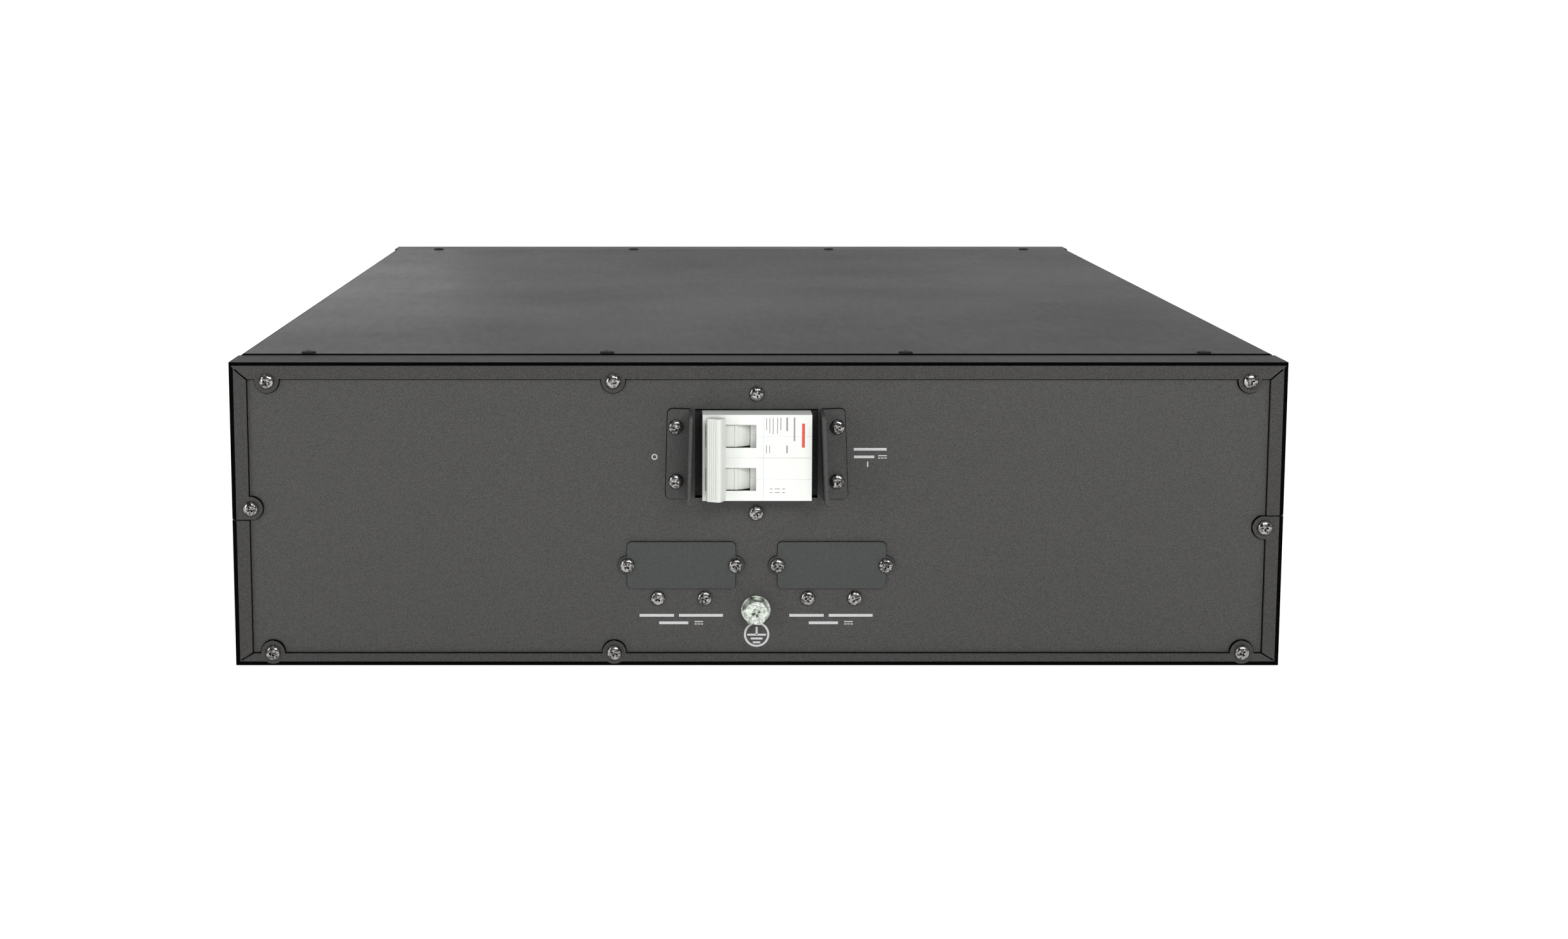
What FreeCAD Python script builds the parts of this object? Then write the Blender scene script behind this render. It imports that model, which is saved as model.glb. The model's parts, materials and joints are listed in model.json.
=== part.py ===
import FreeCAD, Part
import math
import os
import re
import Sketcher

# A rack-mounted external battery pack, seen from its rear: folded steel case, rear panel with a two-pole
# breaker between guards, two covered power connectors and an earth bolt; sealed blocks inside.
# +X is to the right when looking at the rear panel, +Y runs from the rear panel to the front, +Z is up.
# Depths are counted from the outer face of the rear frame's flanges.

SIZES = {
    # case
    "case_width": 438,
    "case_height": 129,
    "case_depth": 590,
    "sheet_metal": 1.2,
    "assembly_gap": 0.3,
    "cover_step": 0.6,
    "cover_seam": 0.8,
    "bezel_depth": 22,
    "bezel_wall": 2.5,
    "bend_radius": 2.5,
    # rear frame
    "frame_depth": 25,
    "top_flange": 6.7,
    "bottom_flange": 5.5,
    "side_flange": 7.4,
    "mitre_slit": 0.45,
    "left_split": 62.4,
    "right_split": 64.2,
    "split_gap": 0.5,
    "tab_radius": 4.9,
    "lap_length": 20,
    # rear panel
    "panel_sheet": 1.5,
    "frame_gap": 0.3,
    "panel_overlap": 5,
    "corner_screw_inset": 16,
    "middle_screw_shift": -60,
    "top_screw_drop": 8.2,
    "bottom_screw_rise": 6.1,
    "side_screw_inset": 8.2,
    "side_screw_shift": 4.9,
    # pan head screws
    "screw_head": 3.1,
    "screw_head_height": 1.9,
    "screw_shank": 1.5,
    "screw_length": 6,
    "screw_clearance": 0.2,
    "recess_reach": 1.6,
    "recess_width": 0.9,
    "recess_depth": 1.2,
    # fittings in the middle of the panel
    "fittings_centre": -0.7,
    "breaker_centre": 90.3,
    "window_width": 51,
    "window_clearance": 0.8,
    "guard_reach": 20,
    "guard_sheet": 1.3,
    "guard_spacing": 55.3,
    "guard_flange": 9.6,
    "guard_height": 37.7,
    "guard_corner": 2,
    "guard_screw_pitch": 22.8,
    "guard_screw_inset": 3.8,
    "guard_lean_left": 1.4,
    "guard_lean_right": 2.4,
    "plate_width": 45.2,
    "plate_height": 19.8,
    "plate_sheet": 1.2,
    "plate_corner": 2,
    "plate_ear": 3.8,
    "plate_rise": 43.2,
    "plate_spacing": 62.7,
    "connector_width": 36,
    "connector_height": 14,
    "connector_depth": 30,
    "connector_wall": 1.8,
    "connector_screw_pitch": 19.6,
    "connector_screw_rise": 29.05,
    "blade_width": 8,
    "blade_sheet": 2,
    "earth_rise": 24.2,
    "earth_head": 5,
    "earth_head_height": 4.2,
    "earth_washer": 6.15,
    "earth_washer_sheet": 1.4,
    "earth_shank": 3,
    "earth_length": 14,
    # breaker
    "pole_width": 17.9,
    "breaker_front": 45,
    "breaker_length": 85,
    "breaker_proud": 11,
    "shoulder_drop": 16,
    "breaker_depth": 60,
    "moulding_wall": 1.6,
    "slot_width": 20.8,
    "slot_height": 9.6,
    "slot_shift": -10.8,
    "slot_ledge": 5,
    "toggle_drop": 10.5,
    "toggle_drum": 9.5,
    "toggle_side_gap": 0.2,
    "toggle_lean": 23.5,
    "lever_width": 4.8,
    "lever_top": 18.2,
    "tie_width": 6.8,
    "tie_inner": 13.2,
    "tie_outer": 19.3,
    "tie_height": 34.3,
    "pin_radius": 2,
    "pin_clearance": 0.1,
    "arm_shift": 6,
    "arm_drop": 30,
    "arm_length": 20,
    "arm_width": 3,
    "arm_height": 5,
    "arm_eye": 3.6,
    "contact_travel": 4.2,
    "terminal_inset": 7,
    "terminal_drop": 32,
    # rail
    "rail_width": 35,
    "rail_sheet": 1,
    "rail_hat": 25,
    "rail_hat_depth": 7.5,
    "rail_notch": 4,
    "rail_length": 38,
    "bracket_sheet": 1.5,
    "bracket_width": 16,
    "bracket_foot": 9,
    "bracket_screw_reach": 25.1,
    # inside
    "partition_depth": 63,
    "partition_height": 112,
    "insulation": 0.8,
    "block_length": 151,
    "block_width": 65,
    "block_height": 94,
    "block_gap": 0.5,
    "block_start": 68,
    "tab_width": 6.3,
    "tab_sheet": 0.8,
    "tab_height": 6,
    "tab_inset": 15,
    "link_width": 8,
    "link_sheet": 1,
    "foam_width": 24,
    "seal_width": 7,
    "lead_radius": 2.5,
    # rack ears and cover screws
    "ear_hole": 2.1,
    "ear_inset": 12,
    "ear_spacing_deep": 20,
    "ear_spacing_high": 76.2,
    "ear_nut": 3.9,
    "ear_nut_height": 2,
    "cover_screw_setback": 3.7,
    "cover_screw_edge": 29,
}

doc = FreeCAD.newDocument("server_rack_battery")
sheet = doc.addObject("Spreadsheet::Sheet", "sizes")
for row, (alias, number) in enumerate(SIZES.items(), 1):
    sheet.set("A%d" % row, alias)
    sheet.set("B%d" % row, str(number))
    sheet.setAlias("B%d" % row, alias)
doc.recompute()

nodes = []


# ---- helpers: bind a property to the sheet, start a sub-part, add and cut features ----

def bind(thing, prop, formula):
    linked = re.sub(r"[a-z_]+", lambda word: "sizes." + word[0] if word[0] in SIZES else word[0], str(formula))
    thing.setExpression(prop, linked)


def place(thing, x="0", y="0", z="0", turn=None, axis=(0, 0, 1)):
    """Put a sub-part at x, depth y behind the rear flanges and height z, turned about an axis."""
    bind(thing, "Placement.Base.x", x)
    bind(thing, "Placement.Base.y", "%s + %s" % (REAR_FACE, y))
    bind(thing, "Placement.Base.z", z)
    if turn is not None:
        thing.Placement.Rotation = FreeCAD.Rotation(FreeCAD.Vector(*axis), 1)
        bind(thing, "Placement.Rotation.Angle", turn)


def new_part(name, x="0", y="0", z="0", turn=None, axis=(0, 0, 1)):
    body = doc.addObject("PartDesign::Body", name)
    body.Label = name
    place(body, x, y, z, turn, axis)
    nodes.append(body)
    return body


def rectangle(x_low, y_low, x_high, y_high):
    return [(x_low, y_low), (x_high, y_low), (x_high, y_high), (x_low, y_high)]


def centred(x, y, width, height):
    return rectangle("%s - (%s) / 2" % (x, width), "%s - (%s) / 2" % (y, height),
                     "%s + (%s) / 2" % (x, width), "%s + (%s) / 2" % (y, height))


def circle(x, y, radius):
    return {"x": x, "y": y, "radius": radius}


def pin_point(sketch, line, corner, x, y):
    for kind, formula in (("DistanceX", x), ("DistanceY", y)):
        index = sketch.addConstraint(Sketcher.Constraint(kind, -1, 1, line, corner, 1.0))
        bind(sketch, "Constraints[%d]" % index, formula)


def draw(sketch, outline):
    """One closed outline: a circle, or a polygon whose corners are each held from the sketch origin."""
    first = sketch.GeometryCount
    if isinstance(outline, dict):
        sketch.addGeometry(Part.Circle(FreeCAD.Vector(1, 1, 0), FreeCAD.Vector(0, 0, 1), 1))
        pin_point(sketch, first, 3, outline["x"], outline["y"])
        index = sketch.addConstraint(Sketcher.Constraint("Radius", first, 1.0))
        bind(sketch, "Constraints[%d]" % index, outline["radius"])
        return
    count = len(outline)
    spread = [FreeCAD.Rotation(FreeCAD.Vector(0, 0, 1), 360 * k / count).multVec(FreeCAD.Vector(9, 0, 0))
              for k in range(count)]
    for k in range(count):
        sketch.addGeometry(Part.LineSegment(spread[k], spread[(k + 1) % count]))
    for k, (x, y) in enumerate(outline):
        sketch.addConstraint(Sketcher.Constraint("Coincident", first + k, 2, first + (k + 1) % count, 1))
        pin_point(sketch, first + k, 1, x, y)


SENSE = {"XY": 1, "YZ": 1, "XZ": -1}


def extrude(body, kind, plane, start, length, *outlines):
    """Pad or Pocket outlines drawn on a plane at a start distance, towards the positive axis."""
    sketch = body.newObject("Sketcher::SketchObject", body.Name + "_sketch")
    origin_plane = [item for item in body.Origin.OriginFeatures if item.Role == plane + "_Plane"][0]
    sketch.AttachmentSupport = [(origin_plane, "")]
    sketch.MapMode = "FlatFace"
    bind(sketch, "AttachmentOffset.Base.z", "%d * (%s)" % (SENSE[plane], start))
    for outline in outlines:
        draw(sketch, outline)
    feature = body.newObject("PartDesign::" + kind, body.Name + "_" + kind.lower())
    feature.Profile = sketch
    bind(feature, "Length", length)
    feature.Reversed = (kind == "Pad") == (SENSE[plane] < 0)
    return feature


def pad(body, plane, start, length, *outlines):
    return extrude(body, "Pad", plane, start, length, *outlines)


def cut(body, plane, start, length, *outlines):
    return extrude(body, "Pocket", plane, start, length, *outlines)


def round_edges(body, radius, wanted):
    """Round the edges of the body's last feature whose middle and direction pass the test."""
    doc.recompute()
    base = body.Tip
    names = []
    for index, edge in enumerate(base.Shape.Edges, 1):
        middle = edge.valueAt((edge.FirstParameter + edge.LastParameter) / 2)
        straight = isinstance(edge.Curve, Part.Line)
        along = edge.tangentAt(edge.FirstParameter) if straight else None
        if wanted(middle, along, edge):
            names.append("Edge%d" % index)
    fillet = body.newObject("PartDesign::Fillet", body.Name + "_fillet")
    fillet.Base = (base, names)
    bind(fillet, "Radius", radius)


def along_axis(direction, axis):
    return direction is not None and abs(direction[axis]) > 0.99


def group(name, members, x="0", y="0", z="0"):
    """Several separate solids as one sub-part."""
    compound = doc.addObject("Part::Compound", name)
    compound.Label = name
    compound.Links = members
    place(compound, x, y, z)
    nodes.append(compound)


def copy_of(master, x, y, z, turn=None):
    link = doc.addObject("App::Link", master.Name + "_copy")
    link.LinkedObject = master
    link.LinkTransform = True
    for axis, formula in zip("xyz", (x, y, z)):
        bind(link, "Placement.Base." + axis, formula)
    if turn is not None:
        link.Placement.Rotation = FreeCAD.Rotation(FreeCAD.Vector(*turn[0]), turn[1])
    return link


def new_master(name):
    """A fastener or block that groups copy; it is no sub-part by itself."""
    return doc.addObject("PartDesign::Body", name)


def size(alias):
    return float(sheet.get(alias))


HALF = "case_width / 2"
PANEL_FACE = "(sheet_metal + frame_gap)"
PANEL_BACK = "(sheet_metal + frame_gap + panel_sheet)"
REAR_FACE = "(guard_reach - sheet_metal - frame_gap - case_depth) / 2"
COVER_START = "(frame_depth + cover_seam)"
COVER_END = "(case_depth - bezel_depth)"
COVER_UNDER = "(case_height - sheet_metal)"
FRAME_TOP = "(case_height - cover_step)"
BEYOND = "1"


# ---- screws and other small fasteners, each made once at the origin, shank towards +Y ----

def pan_screw(name, head, height, shank, length):
    screw = new_master(name)
    pad(screw, "XZ", "0 - %s" % height, height, circle("0", "0", head))
    round_edges(screw, "%s * 0.6" % height, lambda middle, along, edge: middle.y < -0.01 and along is None)
    pad(screw, "XZ", "0", length, circle("0", "0", shank))
    for wide, tall in (("recess_reach", "recess_width / 2"), ("recess_width / 2", "recess_reach")):
        cut(screw, "XZ", "0 - %s - %s" % (height, BEYOND), "recess_depth + " + BEYOND,
            centred("0", "0", "2 * " + wide, "2 * " + tall))
    return screw


panel_screw = pan_screw("panel_screw", "screw_head", "screw_head_height", "screw_shank", "screw_length")

FRAME_SCREWS = [(side + "(%s - corner_screw_inset)" % HALF, "%s + cover_step - top_screw_drop" % FRAME_TOP, "upper")
                for side in ("-", "")]
FRAME_SCREWS += [("middle_screw_shift", "%s + cover_step - top_screw_drop" % FRAME_TOP, "upper")]
FRAME_SCREWS += [(side + "(%s - corner_screw_inset)" % HALF, "bottom_screw_rise", "lower") for side in ("-", "")]
FRAME_SCREWS += [("middle_screw_shift", "bottom_screw_rise", "lower")]
FRAME_SCREWS += [("-(%s - side_screw_inset)" % HALF, "left_split + side_screw_shift", "upper"),
                 ("(%s - side_screw_inset)" % HALF, "right_split - side_screw_shift", "lower")]


# ---- rear frame: two U-shaped folded sheets whose flanges frame the panel ----

def rear_frame(name, half, height_low, height_high, flange_low, flange_high, sides):
    """sides gives, for the left and right arm, the strip of height to take away at the split."""
    frame = new_part(name)
    outer = rectangle("-" + HALF, height_low, HALF, height_high)
    pad(frame, "XZ", "0", "frame_depth", outer)
    end = size("case_height") - size("cover_step") if half == "upper" else 0

    def outer_bend(middle, along, edge):
        return abs(middle.y) < 0.01 and (along_axis(along, 2) or abs(middle.z - end) < 0.01)

    round_edges(frame, "bend_radius", outer_bend)
    inner_low = "(%s + sheet_metal)" % height_low if half == "lower" else "(%s - %s)" % (height_low, BEYOND)
    inner_high = "(%s - sheet_metal)" % height_high if half == "upper" else "(%s + %s)" % (height_high, BEYOND)
    cut(frame, "XZ", "sheet_metal", "frame_depth",
        rectangle("-(%s - sheet_metal)" % HALF, inner_low, "(%s - sheet_metal)" % HALF, inner_high))
    cut(frame, "XZ", "-" + BEYOND, "sheet_metal + 2 * " + BEYOND,
        rectangle("-(%s - side_flange)" % HALF, flange_low, "(%s - side_flange)" % HALF, flange_high))
    for side in (-1, 1):
        across = "%d * (%s - side_flange)" % (side, HALF)
        corner = "%d * (%s - bend_radius)" % (side, HALF)
        level = flange_high if half == "upper" else flange_low
        rise = "+" if half == "upper" else "-"
        edge_level = "(%s %s (%s - bend_radius))" % (level, rise, "top_flange" if half == "upper"
                                                     else "bottom_flange")
        cut(frame, "XZ", "-" + BEYOND, "sheet_metal + " + BEYOND,
            [("%s - %d * mitre_slit" % (across, side), level),
             (across, "%s %s (-mitre_slit)" % (level, rise)),
             (corner, "%s %s (-mitre_slit)" % (edge_level, rise)),
             ("%s - %d * mitre_slit" % (corner, side), edge_level)])
    for x, z, owner in FRAME_SCREWS:
        if owner == half:
            pad(frame, "XZ", "0", "sheet_metal", circle(x, z, "tab_radius"))
    for x, z, owner in FRAME_SCREWS:
        if owner == half:
            cut(frame, "XZ", "-" + BEYOND, "sheet_metal + 2 * " + BEYOND,
                circle(x, z, "screw_shank + screw_clearance"))
    for side, low, high in sides:
        edges = sorted((side * 0.5, side * 2.0))
        cut(frame, "XZ", "-" + BEYOND, "frame_depth + 2 * " + BEYOND,
            rectangle("%g * %s" % (edges[0], HALF), low, "%g * %s" % (edges[1], HALF), high))
    return frame


upper_frame = rear_frame(
    "rear_frame_upper", "upper", "left_split", FRAME_TOP, "0", "(%s - top_flange)" % FRAME_TOP,
    [(-1, "0", "left_split + split_gap / 2"), (1, "0", "right_split + split_gap / 2")])
pad(upper_frame, "XZ", "frame_depth - lap_length / 2", "lap_length * 1.5",
    rectangle("-(%s - cover_screw_edge / 2)" % HALF, "%s - sheet_metal" % COVER_UNDER,
              "(%s - cover_screw_edge / 2)" % HALF, COVER_UNDER))

rear_frame("rear_frame_lower", "lower", "0", "right_split", "bottom_flange", "case_height",
           [(-1, "left_split - split_gap / 2", "case_height"), (1, "right_split - split_gap / 2", "case_height")])


# ---- rear panel ----

RAIL_SCREWS = [("fittings_centre", "breaker_centre + bracket_screw_reach"),
               ("fittings_centre", "breaker_centre - bracket_screw_reach")]
GUARD_EDGE = "(guard_spacing / 2 + guard_flange)"
GUARD_SCREWS = [("fittings_centre + %d * (%s - guard_screw_inset)" % (side, GUARD_EDGE),
                 "breaker_centre + %d * guard_screw_pitch / 2" % level)
                for side in (-1, 1) for level in (-1, 1)]
PLATES = ["(fittings_centre + 0.2 - plate_spacing / 2)", "(fittings_centre + 0.2 + plate_spacing / 2)"]
PLATE_SCREWS = [("%s + %d * plate_width / 2" % (centre, side), "plate_rise") for centre in PLATES for side in (-1, 1)]
CONNECTOR_SCREWS = [("%s + %d * connector_screw_pitch / 2" % (centre, side), "connector_screw_rise")
                    for centre in PLATES for side in (-1, 1)]

panel = new_part("rear_panel")
pad(panel, "XZ", PANEL_FACE, "panel_sheet",
    rectangle("-(%s - side_flange + panel_overlap)" % HALF, "bottom_flange - panel_overlap / 2",
              "(%s - side_flange + panel_overlap)" % HALF, "%s - top_flange + panel_overlap / 2" % FRAME_TOP))
cut(panel, "XZ", "0", "5 * panel_sheet",
    centred("fittings_centre", "breaker_centre", "window_width", "2 * pole_width + 2 * window_clearance"),
    *[centred(centre, "plate_rise", "connector_width", "connector_height") for centre in PLATES])
PANEL_HOLES = [(x, z) for x, z, owner in FRAME_SCREWS] + RAIL_SCREWS + GUARD_SCREWS + PLATE_SCREWS
cut(panel, "XZ", "0", "5 * panel_sheet", circle("fittings_centre", "earth_rise", "earth_shank"),
    *[circle(x, z, "screw_shank") for x, z in PANEL_HOLES + CONNECTOR_SCREWS])


# ---- cover, tray and front ----

cover = new_part("top_cover")
COVER_LENGTH = "%s - %s" % (COVER_END, COVER_START)
pad(cover, "XZ", COVER_START, COVER_LENGTH, rectangle("-" + HALF, "0", HALF, "case_height"))
round_edges(cover, "bend_radius",
            lambda middle, along, edge: along_axis(along, 1) and abs(middle.z - size("case_height")) < 0.01)
cut(cover, "XZ", "0", "case_depth",
    rectangle("-(%s - sheet_metal)" % HALF, "-" + BEYOND, "(%s - sheet_metal)" % HALF, COVER_UNDER))
COVER_SCREWS_X = ["-(%s - cover_screw_edge)" % HALF, "-(%s - cover_screw_edge) / 3" % HALF,
                  "(%s - cover_screw_edge) / 3" % HALF, "(%s - cover_screw_edge)" % HALF]
COVER_SCREWS_Y = ["(%s + cover_screw_setback)" % COVER_START, "(%s - cover_screw_setback)" % COVER_END]
COVER_SCREWS = [(x, y) for y in COVER_SCREWS_Y for x in COVER_SCREWS_X]
LAP_DRILL = ["%s - 3 * sheet_metal" % COVER_UNDER, "9 * sheet_metal"]
cut(cover, "XY", *LAP_DRILL, *[circle(x, y, "screw_shank + screw_clearance") for x, y in COVER_SCREWS])
cut(upper_frame, "XY", *LAP_DRILL, *[circle(x, COVER_SCREWS_Y[0], "screw_shank") for x in COVER_SCREWS_X])
EAR_HOLES = [("%s - ear_inset - (1 - %d) * ear_spacing_deep" % (COVER_END, deep),
              "case_height / 2 + %d * ear_spacing_high / 2" % high) for deep in (0, 1) for high in (-1, 1)]
cut(cover, "YZ", "-case_width", "2 * case_width", *[circle(y, z, "ear_hole") for y, z in EAR_HOLES])

tray = new_part("base_tray")
INSIDE = "(%s - sheet_metal - assembly_gap)" % HALF
pad(tray, "XY", "0", "sheet_metal", rectangle("-" + INSIDE, COVER_START, INSIDE, COVER_END))
pad(tray, "XY", "sheet_metal", "sheet_metal",
    rectangle("-(%s - cover_screw_edge / 2)" % HALF, "frame_depth - lap_length / 2",
              "(%s - cover_screw_edge / 2)" % HALF, "frame_depth + lap_length"))
pad(tray, "XZ", "%s - sheet_metal" % COVER_END, "sheet_metal",
    rectangle("-" + INSIDE, "0", INSIDE, COVER_UNDER))
pad(tray, "XZ", "%s - lap_length" % COVER_END, "lap_length",
    rectangle("-(%s - cover_screw_edge / 2)" % HALF, "%s - sheet_metal" % COVER_UNDER,
              "(%s - cover_screw_edge / 2)" % HALF, COVER_UNDER))
cut(tray, "XY", *LAP_DRILL, *[circle(x, COVER_SCREWS_Y[1], "screw_shank") for x in COVER_SCREWS_X])
for side in (-1, 1):
    lip = ["%d * %s" % (side, INSIDE), "%d * (%s - sheet_metal)" % (side, INSIDE)]
    pad(tray, "XZ", "frame_depth + lap_length", "lap_length",
        rectangle(lip[side > 0], "0", lip[side < 0], "lap_length"))

bezel = new_part("front_bezel")
pad(bezel, "XZ", COVER_END, "bezel_depth", rectangle("-" + HALF, "0", HALF, "case_height"))
round_edges(bezel, "bezel_wall",
            lambda middle, along, edge: middle.y > size("case_depth") - 0.01)
cut(bezel, "XZ", "%s - %s" % (COVER_END, BEYOND), "bezel_depth - bezel_wall + " + BEYOND,
    rectangle("-(%s - bezel_wall)" % HALF, "bezel_wall", "(%s - bezel_wall)" % HALF, "case_height - bezel_wall"))
LOUVRES = 9
cut(bezel, "XZ", COVER_END, "bezel_depth + " + BEYOND,
    *[centred("0", "case_height / 2 + %d * case_height / 12" % k, "case_width * 0.8", "case_height / 30")
      for k in range(-(LOUVRES // 2), LOUVRES // 2 + 1)])
BEZEL_SCREWS = [("%d * (%s - lap_length)" % (side, HALF), "case_height / 2 + %d * (case_height / 2 - 8)" % level)
                for side in (-1, 1) for level in (-1, 1)]
pad(bezel, "XZ", COVER_END, "bezel_depth - bezel_wall", *[circle(x, z, "screw_head") for x, z in BEZEL_SCREWS])
cut(bezel, "XZ", "0", "case_depth - bezel_wall", *[circle(x, z, "screw_shank") for x, z in BEZEL_SCREWS])
cut(tray, "XZ", "%s - 3 * sheet_metal" % COVER_END, "6 * sheet_metal",
    *[circle(x, z, "screw_shank + screw_clearance") for x, z in BEZEL_SCREWS])


# ---- guards, connector plates and what they hide ----

# Each guard leans a little about its two screws, so that the pair opens downwards.
GUARD_FOOT = "(guard_flange + guard_sheet / 2 - guard_screw_inset)"
for side, name in ((-1, "guard_left"), (1, "guard_right")):
    lean = "%d * guard_lean_%s" % (-side, name.split("_")[1])
    guard = new_part(name, "fittings_centre + %d * (%s - guard_screw_inset)" % (side, GUARD_EDGE), "0",
                     "breaker_centre", lean, (0, 1, 0))
    root = "%d * %s" % (-side, GUARD_FOOT)
    bend = "%d * (%s - guard_sheet)" % (-side, GUARD_FOOT)
    edge = "%d * guard_screw_inset" % side
    flange = (root, edge) if side > 0 else (edge, root)
    wing = (root, bend) if side > 0 else (bend, root)
    pad(guard, "XZ", "%s - guard_sheet" % PANEL_FACE, "guard_sheet",
        rectangle(flange[0], "-guard_height / 2", flange[1], "guard_height / 2"))

    def outer_corner(middle, along, edge):
        return along_axis(along, 1) and abs(abs(middle.x) - size("guard_screw_inset")) < 0.01

    round_edges(guard, "guard_corner", outer_corner)
    pad(guard, "XZ", "%s - guard_reach" % PANEL_FACE, "guard_reach",
        rectangle(wing[0], "-guard_height / 2", wing[1], "guard_height / 2"))

    def wing_corner(middle, along, edge):
        return along_axis(along, 0) and middle.y < size("sheet_metal") - size("guard_reach") + 1

    round_edges(guard, "guard_corner", wing_corner)
    cut(guard, "XZ", "-guard_reach", "2 * guard_reach",
        *[circle("%d * guard_screw_pitch / 2 * sin(%s)" % (-level, lean),
                 "%d * guard_screw_pitch / 2 * cos(%s)" % (level, lean), "screw_shank + screw_clearance")
          for level in (-1, 1)])

for centre, name in zip(PLATES, ("connector_cover_left", "connector_cover_right")):
    plate = new_part(name, centre, "0", "plate_rise")
    pad(plate, "XZ", "%s - plate_sheet" % PANEL_FACE, "plate_sheet",
        centred("0", "0", "plate_width", "plate_height"))
    round_edges(plate, "plate_corner", lambda middle, along, edge: along_axis(along, 1))
    for side in (-1, 1):
        pad(plate, "XZ", "%s - plate_sheet" % PANEL_FACE, "plate_sheet",
            circle("%d * plate_width / 2" % side, "0", "plate_ear"))
    cut(plate, "XZ", "-guard_reach", "2 * guard_reach",
        *[circle("%d * plate_width / 2" % side, "0", "screw_shank + screw_clearance") for side in (-1, 1)])

for centre, name in zip(PLATES, ("connector_left", "connector_right")):
    housing = new_part(name, centre, "0", "plate_rise")
    pad(housing, "XZ", PANEL_BACK, "connector_depth", centred("0", "0", "connector_width", "connector_height"))
    cut(housing, "XZ", PANEL_BACK, "connector_depth - connector_wall",
        *[centred("%d * connector_width / 4" % side, "0", "connector_width / 2 - 2 * connector_wall",
                  "connector_height - 2 * connector_wall") for side in (-1, 1)])
    cut(housing, "XZ", PANEL_BACK, "2 * connector_depth",
        *[centred("%d * connector_width / 4" % side, "0", "blade_width", "blade_sheet") for side in (-1, 1)])

blade = new_master("blade")
pad(blade, "XZ", "0", "connector_depth - connector_wall", centred("0", "0", "blade_width", "blade_sheet"))
group("connector_contacts",
      [copy_of(blade, "%s + %d * connector_width / 4" % (centre, side), "%s + 3 * connector_wall" % PANEL_BACK,
               "plate_rise") for centre in PLATES for side in (-1, 1)])

shelf = new_master("shelf")
SHELF_TOP = "(plate_rise - connector_height / 2)"
pad(shelf, "XZ", PANEL_BACK, "connector_depth",
    rectangle("-connector_width / 2", "%s - bracket_sheet" % SHELF_TOP, "connector_width / 2", SHELF_TOP))
pad(shelf, "XZ", PANEL_BACK, "bracket_sheet",
    rectangle("-connector_width / 2", "connector_screw_rise - bracket_foot / 2", "connector_width / 2", SHELF_TOP))
cut(shelf, "XZ", "0", "connector_depth",
    *[circle("%d * connector_screw_pitch / 2" % side, "connector_screw_rise", "screw_shank") for side in (-1, 1)])
group("connector_brackets", [copy_of(shelf, centre, "0", "0") for centre in PLATES])

bolt = new_part("earth_bolt", "fittings_centre", "0", "earth_rise")
WASHER_FACE = "(%s - 2 * earth_washer_sheet)" % PANEL_FACE
HEXAGON = [("earth_head / 0.866 * cos(%d)" % (60 * k), "earth_head / 0.866 * sin(%d)" % (60 * k)) for k in range(6)]
pad(bolt, "XZ", "%s - earth_head_height" % WASHER_FACE, "earth_head_height", HEXAGON)
pad(bolt, "XZ", WASHER_FACE, "earth_length", circle("0", "0", "earth_shank"))
for wide, tall in (("1.4 * recess_reach", "recess_width / 2"), ("recess_width / 2", "1.4 * recess_reach")):
    cut(bolt, "XZ", "%s - earth_head_height - %s" % (WASHER_FACE, BEYOND), "recess_depth + " + BEYOND,
        centred("0", "0", "2 * " + wide, "2 * " + tall))

washer = new_master("washer")
pad(washer, "XZ", "0", "earth_washer_sheet", circle("0", "0", "earth_washer"))
cut(washer, "XZ", "-" + BEYOND, "3 * earth_washer_sheet", circle("0", "0", "earth_shank"))
group("earth_washers", [copy_of(washer, "fittings_centre", "%s + %d * earth_washer_sheet" % (WASHER_FACE, k),
                                "earth_rise") for k in (0, 1)])
nut = new_part("earth_nut", "fittings_centre", "0", "earth_rise")
pad(nut, "XZ", PANEL_BACK, "earth_head_height", HEXAGON)
cut(nut, "XZ", "0", "3 * earth_length", circle("0", "0", "earth_shank"))


# ---- rail and its bracket ----

BREAKER_FACE = "(%s - breaker_proud)" % PANEL_FACE
BREAKER_REAR = "(%s + breaker_depth)" % BREAKER_FACE
RAIL_FACE = "(%s - rail_notch)" % BREAKER_REAR
RAIL_WEB = "(%s + rail_hat_depth - rail_sheet)" % RAIL_FACE

rail = new_part("din_rail", "fittings_centre", "0", "breaker_centre - rail_length / 2")
pad(rail, "XY", "0", "rail_length",
    [("-rail_width / 2", RAIL_FACE), ("-rail_hat / 2 + rail_sheet", RAIL_FACE),
     ("-rail_hat / 2 + rail_sheet", RAIL_WEB), ("rail_hat / 2 - rail_sheet", RAIL_WEB),
     ("rail_hat / 2 - rail_sheet", RAIL_FACE), ("rail_width / 2", RAIL_FACE),
     ("rail_width / 2", "%s + rail_sheet" % RAIL_FACE), ("rail_hat / 2", "%s + rail_sheet" % RAIL_FACE),
     ("rail_hat / 2", "%s + rail_sheet" % RAIL_WEB), ("-rail_hat / 2", "%s + rail_sheet" % RAIL_WEB),
     ("-rail_hat / 2", "%s + rail_sheet" % RAIL_FACE), ("-rail_width / 2", "%s + rail_sheet" % RAIL_FACE)])

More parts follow.
